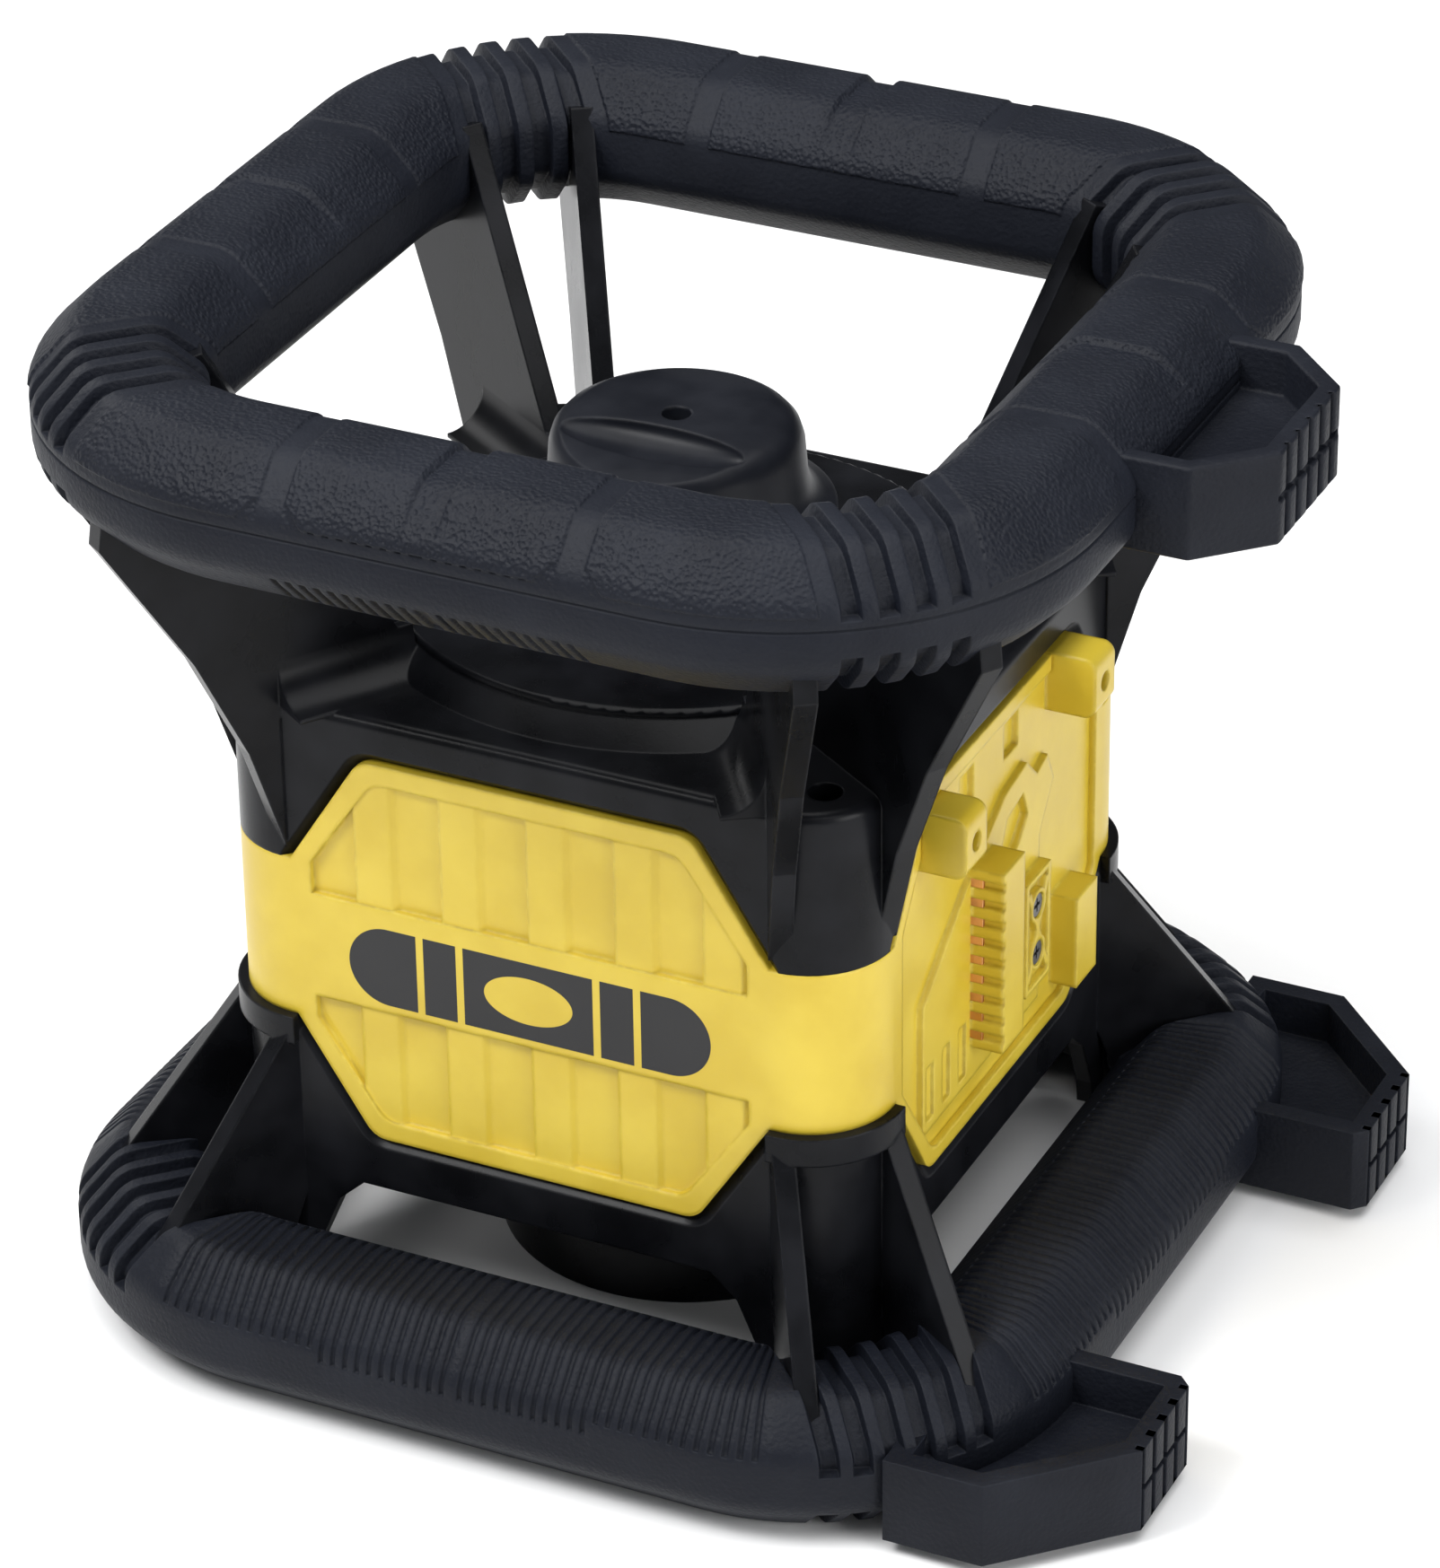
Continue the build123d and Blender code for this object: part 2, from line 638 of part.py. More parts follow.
with BuildPart() as battery_dock:
    with BuildSketch(Plane.YZ.offset(dock_back)):
        with BuildLine():
            Polyline(*hexagon_points(dock_inset), close=True)
        make_face()
    extrude(amount=dock_face - dock_back)
    with Locations((dock_back, 0, 103)):
        Box(4, 70, 60, align=(Align.MIN, Align.CENTER, Align.CENTER), mode=Mode.SUBTRACT)
    # Raised guide plate with a stepped, sloping upper edge.
    with BuildSketch(Plane.YZ.offset(dock_face - 0.5)):
        with BuildLine():
            Polyline((-44, 98), (-20, 116), (2, 129), (14, 131), (20, 125), (26, 127), (30, 119), (22, 108),
                     (22, 64), (-44, 64), close=True)
        make_face()
    extrude(amount=2.0)
    with BuildSketch(Plane.YZ.offset(dock_face - 0.5)):
        with BuildLine():
            Polyline((3, 122), (12, 124), (15, 117), (10, 112), (2, 108), (-2, 112), close=True)
        make_face()
    extrude(amount=3.0, mode=Mode.SUBTRACT)
    # Rails each side of the contact block.
    for y, z, stand, width, height in dock_blocks:
        with Locations((dock_face, y, z)):
            Box(stand, width, height, align=(Align.MIN, Align.CENTER, Align.CENTER))
    with Locations((body_half + 1.2, 14.8, 87)):
        Box(4, 11, 27, align=(Align.MIN, Align.CENTER, Align.CENTER), mode=Mode.SUBTRACT)
    with Locations(*[Location((body_half, 14.8, 87), (turn, 0, 0)) for turn in (24, -24)]):
        Box(6, 1.6, 26)
    with Locations(*[(dock_face, y, z) for y, z in dock_screw_places]):
        Cylinder(4.2, 4.5, rotation=(0, 90, 0), align=(Align.CENTER, Align.CENTER, Align.MIN))
    # Small catch windows near the top and shallow slats near the bottom.
    with Locations((dock_face, -17, 140), (dock_face, 8, 141)):
        Box(3, 8, 9, mode=Mode.SUBTRACT)
    with Locations(*[(dock_face + 1.5, y, 74) for y in (-40, -31, -22)]):
        Box(1.6, 4, 14, mode=Mode.SUBTRACT)
    add(battery_lugs.part)
    with Locations(*[Plane((lug_reach, y, z), z_dir=(1, 0, 0)) for y, z in lug_places]):
        Hole(2.4, lug_bore_depth)
    with Locations(*[Plane((body_half + 3, y, z), z_dir=(1, 0, 0)) for y, z in dock_screw_places]):
        CounterBoreHole(1.7, 3.2, 2.2, 20)
    with Locations(*[(body_half + 4, -17.5, z) for z in contact_levels]):
        Box(8.2, contact_size, contact_size, mode=Mode.SUBTRACT)
    add(middle_casing.part, mode=Mode.SUBTRACT)
    add(upper_housing.part, mode=Mode.SUBTRACT)
save(battery_dock.part, "battery_dock")

with BuildPart() as battery_terminals:
    with Locations(*[(body_half + 1.4, -16.9, z) for z in contact_levels]):
        Box(3.0, 1.0, contact_size)
save(battery_terminals.part, "battery_terminals")

dock_screw = screw(2.9, 1.8, 1.6, 8.0)
save(screw_group(dock_screw, [Location((body_half - 7.2, y, z), (0, 90, 0)) for y, z in dock_screw_places]),
     "dock_screws")

# ---------------------------------------------------------------- keypad on the -X face
button_places = {
    "power_button": (0.0, 93.5, 5.5),
    "speed_button": (-14.5, 99.0, 4.2),
    "scan_button": (14.5, 99.0, 4.2),
    "tilt_up_button": (0.0, 114.5, 3.6),
    "tilt_down_button": (0.0, 104.5, 3.6),
}
light_places = [(-14.5, 114.0), (-9.5, 114.0), (9.5, 114.0), (14.5, 114.0)]
keypad_face = -body_half - keypad_depth

with BuildPart() as keypad_panel:
    with BuildSketch(Plane.YZ.offset(keypad_face)):
        with Locations((0, keypad_z)):
            RectangleRounded(2 * keypad_half[0], 2 * keypad_half[1], 6)
        for y, z, radius in button_places.values():
            with Locations((y, z)):
                Circle(radius + button_gap, mode=Mode.SUBTRACT)
        with Locations(*light_places):
            Circle(1.6, mode=Mode.SUBTRACT)
    extrude(amount=keypad_depth)
    chamfer(keypad_panel.faces().sort_by(Axis.X)[0].outer_wire().edges(), length=1.0)
save(keypad_panel.part, "keypad_panel")

for name, (y, z, radius) in button_places.items():
    with BuildPart() as button:
        with Locations((keypad_face - button_proud, y, z)):
            Cylinder(radius, button_proud + keypad_depth, rotation=(0, 90, 0),
                     align=(Align.CENTER, Align.CENTER, Align.MIN))
        with Locations((keypad_face + keypad_depth + 0.4, y, z)):
            Cylinder(radius + 0.9, 1.2, rotation=(0, 90, 0), align=(Align.CENTER, Align.CENTER, Align.MIN))
            Cylinder(radius, 1.2, rotation=(0, 90, 0), align=(Align.CENTER, Align.CENTER, Align.MAX))
        with Locations((keypad_face + keypad_depth + 1.6, y, z)):
            Cylinder(1.5, 3.4, rotation=(0, 90, 0), align=(Align.CENTER, Align.CENTER, Align.MIN))
        chamfer(button.edges().filter_by(GeomType.CIRCLE).sort_by(Axis.X)[0], length=0.5)
    save(button.part, name)

with BuildPart() as status_lights:
    with Locations(*[(keypad_face + 0.2, y, z) for y, z in light_places]):
        Cylinder(1.6, 2.8, rotation=(0, 90, 0), align=(Align.CENTER, Align.CENTER, Align.MIN))
save(status_lights.part, "status_lights")

with BuildPart() as keypad_board:
    with Locations((-73.0, 0, keypad_z)):
        Box(board_thickness, 56, 48)
save(keypad_board.part, "keypad_board")

with BuildPart() as main_board:
    with Locations((0, body_half - wall - board_stand, 92.5)):
        Box(90, board_thickness, 62, align=(Align.CENTER, Align.MAX, Align.CENTER))
    board_face = body_half - wall - board_stand - board_thickness
    with Locations((-20, board_face, 80), (22, board_face, 104)):
        Box(16, 3, 12, align=(Align.CENTER, Align.MAX, Align.CENTER))
save(main_board.part, "main_board")

with BuildPart() as buzzer:
    with Locations((28, board_face, 76)):
        Cylinder(6, 5, rotation=(90, 0, 0), align=(Align.CENTER, Align.CENTER, Align.MIN))
save(buzzer.part, "buzzer")

# ---------------------------------------------------------------- support frame and gimbal
with BuildPart() as support_frame:
    with BuildSketch(Plane.XY.offset(frame_plate_z)):
        RectangleRounded(2 * frame_half, 2 * frame_half, 14)
        Circle(frame_hole, mode=Mode.SUBTRACT)
        Rectangle(2 * gimbal_outer + 14, 20)
        Rectangle(2 * gimbal_outer + 6, 20, mode=Mode.SUBTRACT)
    extrude(amount=frame_plate)
    with Locations(*[(x * post_centre, y * post_centre, floor_z + wall) for x, y in corners]):
        Cylinder(post_radius, frame_plate_z - floor_z - wall, align=(Align.CENTER, Align.CENTER, Align.MIN))
    with Locations(*[(side * (gimbal_outer + 6.5), 0, frame_plate_z) for side in (-1, 1)]):
        Box(7, 18, pivot_z + 7 - frame_plate_z, align=(Align.CENTER, Align.CENTER, Align.MIN))
    with Locations((0, 0, pivot_z)):
        Cylinder(pin_radius, 200, rotation=(0, 90, 0), mode=Mode.SUBTRACT)
    with Locations((-(motor_near + motor_far) / 2, 0, frame_plate_z)):
        Box(motor_size, motor_size, frame_plate_z - yoke_y_z - motor_size / 2,
            align=(Align.CENTER, Align.CENTER, Align.MAX))
save(support_frame.part, "support_frame")


def pin_pair(direction, near, far, radius):
    """Two coaxial pivot pins, one each side of the gimbal's centre."""
    turn = (0, 90, 0) if direction == "X" else (90, 0, 0)
    middle = (near + far) / 2
    with BuildPart() as pins:
        for side in (-1, 1):
            place = (side * middle, 0, pivot_z) if direction == "X" else (0, side * middle, pivot_z)
            with Locations(place):
                Cylinder(radius, far - near, rotation=turn)
    return pins.part


save(pin_pair("X", gimbal_inner + 1.5, gimbal_outer + 10, pin_radius), "gimbal_pins_x")
save(pin_pair("Y", platform_radius - 8, gimbal_outer, pin_radius), "gimbal_pins_y")

with BuildPart() as gimbal_ring:
    with BuildSketch(Plane.XY.offset(pivot_z - gimbal_half)):
        Circle(gimbal_outer)
        Circle(gimbal_inner, mode=Mode.SUBTRACT)
    extrude(amount=2 * gimbal_half)
    with Locations((0, 0, pivot_z)):
        Cylinder(pin_radius + running_gap, 200, rotation=(0, 90, 0), mode=Mode.SUBTRACT)
        Cylinder(pin_radius, 200, rotation=(90, 0, 0), mode=Mode.SUBTRACT)
save(gimbal_ring.part, "gimbal_ring")

with BuildPart() as tilt_platform:
    with BuildSketch(Plane.XY.offset(pivot_z - gimbal_half)):
        Circle(platform_radius)
        Circle(tube_radius, mode=Mode.SUBTRACT)
        with Locations((motor_x, 0)):
            Circle(2.2, mode=Mode.SUBTRACT)
    extrude(amount=2 * gimbal_half)
    for side in (-1, 1):
        with Locations((0, side * (platform_radius - 8.5), pivot_z)):
            Cylinder(pin_radius + running_gap, 30, rotation=(side * -90, 0, 0),
                     align=(Align.CENTER, Align.CENTER, Align.MIN), mode=Mode.SUBTRACT)
save(tilt_platform.part, "tilt_platform")

with BuildPart() as spindle_tube:
    with BuildSketch(Plane.XY.offset(tube_low)):
        Circle(tube_radius)
        Circle(tube_bore, mode=Mode.SUBTRACT)
    extrude(amount=pivot_z + gimbal_half - tube_low)
save(spindle_tube.part, "spindle_tube")

for name, low in (("lower_bearing", 126.0), ("upper_bearing", 147.0)):
    with BuildPart() as bearing:
        with BuildSketch(Plane.XY.offset(low)):
            Circle(tube_bore)
            Circle(shaft_radius + running_gap, mode=Mode.SUBTRACT)
        extrude(amount=bearing_depth)
    save(bearing.part, name)

with BuildPart() as laser_module:
    with BuildSketch(Plane.XY.offset(tube_low - 2)):
        Circle(tube_bore)
    extrude(amount=laser_length)
    with BuildSketch(Plane.XY.offset(tube_low + 36)):
        Circle(2.5)
    extrude(amount=8, mode=Mode.SUBTRACT)
save(laser_module.part, "laser_module")

with BuildPart() as tilt_sensors:
    with Locations((0, sensor_offset, pivot_z - gimbal_half - 3)):
        Cylinder(3, 22, rotation=(0, 90, 0))
    with Locations((sensor_offset, 0, pivot_z - gimbal_half - 3)):
        Cylinder(3, 22, rotation=(90, 0, 0))
save(tilt_sensors.part, "tilt_sensors")

# ---------------------------------------------------------------- rotor and its belt drive
with BuildPart() as rotor_shaft:
    with BuildSketch(Plane.XY.offset(124)):
        Circle(shaft_radius)
        Circle(beam_bore, mode=Mode.SUBTRACT)
    extrude(amount=head_low - 124)
save(rotor_shaft.part, "rotor_shaft")


def pulley(centre_x, radius, bore):
    """Flanged pulley for the flat belt."""
    with BuildPart() as wheel:
        with BuildSketch(Plane.XY.offset(pulley_low)):
            with Locations((centre_x, 0)):
                Circle(radius)
                Circle(bore, mode=Mode.SUBTRACT)
        extrude(amount=pulley_high - pulley_low)
        with BuildSketch(Plane.XY.offset(pulley_low + 1)):
            with Locations((centre_x, 0)):
                Circle(radius + 1)
                Circle(radius - pulley_groove, mode=Mode.SUBTRACT)
        extrude(amount=pulley_high - pulley_low - 2, mode=Mode.SUBTRACT)
    return wheel.part


save(pulley(0, rotor_pulley_radius, shaft_radius), "rotor_pulley")

with BuildPart() as motor_pulley:
    add(pulley(motor_x, motor_pulley_radius, 1.0))
    with BuildSketch(Plane.XY.offset(pivot_z - gimbal_half - 4)):
        with Locations((motor_x, 0)):
            Circle(1.0)
    extrude(amount=pulley_high - pivot_z + gimbal_half + 4)
save(motor_pulley.part, "motor_pulley")

with BuildPart() as drive_motor:
    with BuildSketch(Plane.XY.offset(pivot_z - gimbal_half)):
        with Locations((motor_x, 0)):
            Circle(7)
    extrude(amount=-22)
    with Locations((motor_x, 0, pivot_z - gimbal_half)):
        Cylinder(1.0 + running_gap, 9, mode=Mode.SUBTRACT)
save(drive_motor.part, "drive_motor")

belt_gap = 0.3
belt_thickness = 0.8
belt_width = 3.0
belt_inner_rotor = rotor_pulley_radius - pulley_groove + belt_gap
belt_inner_motor = motor_pulley_radius - pulley_groove + belt_gap


def belt_outline(extra):
    """Both wrap circles and the straight runs between them."""
    large = belt_inner_rotor + extra
    small = belt_inner_motor + extra
    span = -motor_x
    lean = (large - small) / span
    rise = sqrt(1 - lean * lean)
    with BuildSketch(Plane.XY.offset(pulley_low + 1.5)) as outline:
        Circle(large)
        with Locations((motor_x, 0)):
            Circle(small)
        with BuildLine():
            Polyline((-large * lean, large * rise), (motor_x - small * lean, small * rise),
                     (motor_x - small * lean, -small * rise), (-large * lean, -large * rise), close=True)
        make_face()
    return outline.sketch


belt_outside = belt_outline(belt_thickness)
belt_inside = belt_outline(0)

with BuildPart() as drive_belt:
    extrude(belt_outside, amount=belt_width)
    extrude(belt_inside, amount=belt_width, mode=Mode.SUBTRACT)
save(drive_belt.part, "drive_belt")

with BuildPart() as rotor_head:
    with BuildSketch(Plane.XY.offset(head_low)):
        Circle(head_radius)
    extrude(amount=head_high - head_low)
    with Locations((5, 0, 181)):
        Box(18, 10, 12, mode=Mode.SUBTRACT)
    with BuildSketch(Plane.XY.offset(head_low - 1)):
        Circle(beam_bore)
    extrude(amount=head_high - head_low + 2, mode=Mode.SUBTRACT)
save(rotor_head.part, "rotor_head")

with BuildPart() as prism:
    with BuildSketch(Plane.XZ):
        with BuildLine():
            Polyline((-4, 175), (6, 175), (7.5, 181), (3.5, 187), (-4, 187), close=True)
        make_face()
    extrude(amount=5, both=True)
save(prism.part, "prism")

# ---------------------------------------------------------------- levelling drives


def yoke(height, along_x):
    """Slotted plate and nut: the spindle tube stands in the slot."""
    turn = 0 if along_x else 90
    with BuildPart() as slider:
        with BuildSketch(Plane(origin=(0, 0, height - yoke_thickness / 2)).rotated((0, 0, turn))):
            Rectangle(2 * tube_radius + 10, 46)
            with Locations((-(tube_radius + 11), 0)):
                Rectangle(12, 10)
            SlotOverall(35, 2 * (tube_radius + yoke_gap), rotation=90, mode=Mode.SUBTRACT)
        extrude(amount=yoke_thickness)
    return slider.part


def lead_nut(height, along_x):
    """Yoke with its round nut, bored for the lead screw."""
    centre = (-34, 0, height) if along_x else (0, -34, height)
    turn = (0, 90, 0) if along_x else (90, 0, 0)
    with BuildPart() as nut:
        add(yoke(height, along_x))
        with Locations(centre):
            Cylinder(5, 14, rotation=turn)
        with Locations((-30, 0, height) if along_x else (0, -30, height)):
            Cylinder(lead_screw_radius + running_gap, 24, rotation=turn, mode=Mode.SUBTRACT)
    return nut.part


def lead_screw(height, along_x):
    """Plain lead screw out of its motor."""
    tail = motor_near + 4
    middle = (tail + lead_screw_tip) / 2
    with BuildPart() as rod:
        with Locations((-middle, 0, height) if along_x else (0, -middle, height)):
            Cylinder(lead_screw_radius, tail - lead_screw_tip, rotation=(0, 90, 0) if along_x else (90, 0, 0))
    return rod.part


def level_motor(height, along_x):
    """Square motor with a bore for the lead screw's tail."""
    middle = (motor_near + motor_far) / 2
    length = motor_far - motor_near
    with BuildPart() as motor:
        with Locations((-middle, 0, height) if along_x else (0, -middle, height)):
            Box(length if along_x else motor_size, motor_size if along_x else length, motor_size)
        with Locations((-motor_near, 0, height) if along_x else (0, -motor_near, height)):
            Cylinder(lead_screw_radius + running_gap, 10, rotation=(0, 90, 0) if along_x else (90, 0, 0),
                     mode=Mode.SUBTRACT)
    return motor.part


for axis_name, height, along_x in (("x", yoke_x_z, False), ("y", yoke_y_z, True)):
    save(lead_nut(height, along_x), "level_nut_" + axis_name)
    save(lead_screw(height, along_x), "level_screw_" + axis_name)
    save(level_motor(height, along_x), "level_motor_" + axis_name)
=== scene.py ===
import json
import math

import bmesh
import bpy
from mathutils import Matrix, Vector


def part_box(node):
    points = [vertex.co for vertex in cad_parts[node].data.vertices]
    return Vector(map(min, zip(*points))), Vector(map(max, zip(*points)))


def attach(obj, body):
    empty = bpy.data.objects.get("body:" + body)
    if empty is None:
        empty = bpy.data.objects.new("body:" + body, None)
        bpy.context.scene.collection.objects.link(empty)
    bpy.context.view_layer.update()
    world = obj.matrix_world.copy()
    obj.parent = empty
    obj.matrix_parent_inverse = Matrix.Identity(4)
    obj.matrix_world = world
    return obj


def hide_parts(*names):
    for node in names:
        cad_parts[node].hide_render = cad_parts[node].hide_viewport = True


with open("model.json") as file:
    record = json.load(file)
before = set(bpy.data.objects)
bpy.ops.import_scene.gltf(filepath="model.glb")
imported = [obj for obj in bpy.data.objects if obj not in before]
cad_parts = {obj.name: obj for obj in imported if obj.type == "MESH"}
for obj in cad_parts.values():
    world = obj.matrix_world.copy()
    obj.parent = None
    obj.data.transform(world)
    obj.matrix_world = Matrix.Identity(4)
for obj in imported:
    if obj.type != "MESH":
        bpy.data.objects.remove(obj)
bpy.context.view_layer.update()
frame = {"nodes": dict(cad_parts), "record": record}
nodes = frame["nodes"]
bpy.ops.object.select_all(action="DESELECT")

MM = 0.001
QUARTER = math.pi / 2
RAISE = 0.5 * MM  # how far the grip pads stand out from the rubber round them


# ---------------------------------------------------------------- shader helpers
class Wire:
    """A shader value: Python arithmetic on it adds the Math nodes."""

    def __init__(self, finish, socket):
        self.finish = finish
        self.socket = socket

    def math(self, operation, *others, swap=False):
        values = [self, *others]
        if swap:
            values.reverse()
        return self.finish.node("Math", {"operation": operation}, dict(enumerate(values)))

    def __add__(self, other):
        return self.math("ADD", other)

    __radd__ = __add__

    def __mul__(self, other):
        return self.math("MULTIPLY", other)

    __rmul__ = __mul__

    def __sub__(self, other):
        return self.math("SUBTRACT", other)

    def __rsub__(self, other):
        return self.math("SUBTRACT", other, swap=True)

    def __lt__(self, other):
        return self.math("LESS_THAN", other)

    def __gt__(self, other):
        return self.math("GREATER_THAN", other)

    def size(self):
        return self.math("ABSOLUTE")

    def least(self, other):
        return self.math("MINIMUM", other)

    def most(self, other):
        return self.math("MAXIMUM", other)

    def ramp(self, low, high):
        """0 below low, 1 above high, smooth in between."""
        return self.finish.node(
            "MapRange", {"interpolation_type": "SMOOTHSTEP"},
            {"Value": self, "From Min": low, "From Max": high},
        )


class Finish:
    """One material and the nodes that make it."""

    def __init__(self, name):
        self.material = bpy.data.materials.new(name)
        self.material.use_nodes = True
        self.tree = self.material.node_tree
        self.tree.nodes.clear()
        self.place = self.node("TexCoord", {}, {}, out="Object")
        split = self.node("SeparateXYZ", {}, {"Vector": self.place})
        self.x, self.y, self.z = (Wire(self, socket) for socket in split.socket.node.outputs)

    def node(self, kind, settings, values, out=0):
        made = self.tree.nodes.new("ShaderNode" + kind)
        for key, value in settings.items():
            setattr(made, key, value)
        for key, value in values.items():
            if isinstance(value, Wire):
                self.tree.links.new(value.socket, made.inputs[key])
            else:
                made.inputs[key].default_value = value
        return None if out is None else Wire(self, made.outputs[out])

    def noise(self, scale, detail=3, stretch=(1, 1, 1)):
        """Cloudy value round 0.5; scale is features per metre."""
        where = self.place
        if stretch != (1, 1, 1):
            where = self.node("Mapping", {}, {"Vector": where, "Scale": stretch})
        return self.node("TexNoise", {}, {"Vector": where, "Scale": scale, "Detail": detail})

    def cells(self, scale):
        """Pebbled leather-like grain."""
        return self.node("TexVoronoi", {"feature": "SMOOTH_F1"}, {"Vector": self.place, "Scale": scale})

    def mix(self, share, first, second):
        """Colour blend; colours are three numbers or wires."""
        values = {"Factor": share}
        for key, colour in (("A", first), ("B", second)):
            values[key] = colour if isinstance(colour, Wire) else (*colour, 1)
        made = self.tree.nodes.new("ShaderNodeMix")
        made.data_type = "RGBA"
        for key, value in values.items():
            spot = next(s for s in made.inputs if s.name == key and s.enabled)
            if isinstance(value, Wire):
                self.tree.links.new(value.socket, spot)
            else:
                spot.default_value = value
        return Wire(self, next(s for s in made.outputs if s.enabled))

    def edges(self, radius):
        """Rounded normal, and how near the surface is to an edge."""
        soft = self.node("Bevel", {"samples": 6}, {"Radius": radius})
        flat = self.node("NewGeometry", {}, {}, out="Normal")
        facing = self.node("VectorMath", {"operation": "DOT_PRODUCT"}, {0: soft, 1: flat}, out="Value")
        return soft, (1 - facing).ramp(0.02, 0.25)

    def bump(self, height, depth, strength=1.0, normal=None):
        values = {"Height": height, "Distance": depth, "Strength": strength}
        if normal is not None:
            values["Normal"] = normal
        return self.node("Bump", {}, values)

    def surface(self, **values):
        """Finishes the material with its main shader; keys are the shader's socket names."""
        named = {key.replace("_", " ").title(): value for key, value in values.items()}
        named = {key.replace("Ior", "IOR"): value for key, value in named.items()}
        if not isinstance(named["Base Color"], Wire):
            named["Base Color"] = (*named["Base Color"], 1)
        shader = self.node("BsdfPrincipled", {}, named, out="BSDF")
        self.node("OutputMaterial", {}, {"Surface": shader}, out=None)
        return self.material


# ---------------------------------------------------------------- finishes
def moulded(name, colour, worn, gloss, grain_depth, soft_edge=0.8 * MM):
    """Injection-moulded plastic: fine spark grain, patchy sheen, edges rubbed lighter."""
    finish = Finish(name)
    soft, edge = finish.edges(soft_edge)
    patches = finish.noise(45, 4)
    scuffs = finish.noise(700, 3, stretch=(1, 1, 0.15)).ramp(0.62, 0.8)
    wear = edge * finish.noise(300, 4).ramp(0.4, 0.7) * 0.7
    shade = finish.mix(patches.ramp(0.3, 0.75) * 0.35 + wear, colour, worn)
    roughness = gloss + patches * 0.12 + scuffs * 0.08 + wear * 0.15
    grain = finish.noise(2400, 2) + finish.noise(900, 2) * 0.4
    return finish, shade, roughness, finish.bump(grain, grain_depth, 0.5, soft)


def black_shell():
    finish, shade, roughness, normal = moulded(
        "black_shell", (0.0022, 0.0024, 0.0031), (0.022, 0.023, 0.028), 0.22, 0.03 * MM)
    return finish.surface(base_color=shade, roughness=roughness, specular_ior_level=0.12, normal=normal)


def cap_plastic():
    finish, shade, roughness, normal = moulded(
        "cap_plastic", (0.0045, 0.0052, 0.0078), (0.026, 0.028, 0.035), 0.32, 0.04 * MM, 1.2 * MM)
    return finish.surface(base_color=shade, roughness=roughness, specular_ior_level=0.14, normal=normal)


def keypad_black():
    finish, shade, roughness, normal = moulded(
        "keypad_black", (0.014, 0.014, 0.015), (0.05, 0.05, 0.052), 0.42, 0.05 * MM, 0.5 * MM)
    return finish.surface(base_color=shade, roughness=roughness, normal=normal)


def button_rubber():
    finish, shade, roughness, normal = moulded(
        "button_rubber", (0.16, 0.16, 0.155), (0.3, 0.3, 0.29), 0.55, 0.05 * MM, 0.5 * MM)
    return finish.surface(base_color=shade, roughness=roughness, normal=normal)


def nut_plastic():
    finish, shade, roughness, normal = moulded(
        "nut_plastic", (0.55, 0.53, 0.47), (0.65, 0.64, 0.6), 0.4, 0.04 * MM, 0.4 * MM)
    return finish.surface(base_color=shade, roughness=roughness, normal=normal)


def yellow_shell():
    """Warm yellow casing, with a printed bubble vial on the front and rear middle bands."""
    finish, shade, roughness, normal = moulded(
        "yellow_shell", (0.54, 0.385, 0.022), (0.78, 0.62, 0.08), 0.3, 0.05 * MM, 1.6 * MM)
    vial_z, vial_end, vial_half = 100 * MM, 35 * MM, 10 * MM
    bubble_half, bubble_high = 11 * MM, 6 * MM
    line_half = 0.9 * MM
    across = finish.x.size()
    up = (finish.z - vial_z).size()
    past = (across - vial_end).most(0)
    capsule = past * past + up * up < vial_half ** 2
    bubble = across * across * bubble_half ** -2 + up * up * bubble_high ** -2 < 1
    lines = ((across - 17 * MM).size() < line_half).most((across - 27 * MM).size() < line_half)
    outer_face = finish.y.size() > 79.9 * MM
    ink = capsule * (1 - bubble) * (1 - lines) * outer_face
    return finish.surface(
        base_color=finish.mix(ink, shade, (0.004, 0.004, 0.005)),
        roughness=roughness + ink * 0.12, normal=normal)


def rubber(name, colour, worn, pads):
    """Soft overmould: pebbled where the hand grips, finer elsewhere, chalky on its edges."""
    finish = Finish(name)
    soft, edge = finish.edges(0.7 * MM)
    pebbles = finish.cells(1000)
    fine = finish.noise(3000, 2)
    patches = finish.noise(35, 4)
    if pads:
        along = finish.x.size().least(finish.y.size())
        from_corner = (finish.x.size() - finish.y.size()).size()
        band = (along > PAD_END) * (along < PAD_NEXT)
        on_shoulders = finish.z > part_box("handle_grip")[1].z - PAD_DROP
        clear_of_flutes = from_corner > FLUTE_ZONE * math.sqrt(2)
        coarse = 0.3 + on_shoulders * (1 - band) * clear_of_flutes * 0.7
    else:
        coarse = 0.3
    dust = finish.noise(500, 4).ramp(0.55, 0.75)
    chalk = edge * 0.5 + dust * 0.12
    shade = finish.mix(chalk + patches.ramp(0.3, 0.8) * 0.3, colour, worn)
    roughness = 0.46 + patches * 0.12 + dust * 0.08
    relief = pebbles * coarse * 1.6 + fine * 0.25
    return finish.surface(base_color=shade, roughness=roughness, specular_ior_level=0.14,
                          normal=finish.bump(relief, 0.28 * MM, 1.0, soft))


def grip_rubber():
    return rubber("grip_rubber", (0.0060, 0.0072, 0.0115), (0.022, 0.025, 0.034), True)


def foot_rubber():
    return rubber("foot_rubber", (0.0050, 0.0060, 0.0098), (0.022, 0.025, 0.034), False)


def seal_rubber():
    return rubber("seal_rubber", (0.02, 0.02, 0.02), (0.05, 0.05, 0.05), False)


def belt_rubber():
    return rubber("belt_rubber", (0.015, 0.015, 0.015), (0.04, 0.04, 0.04), False)


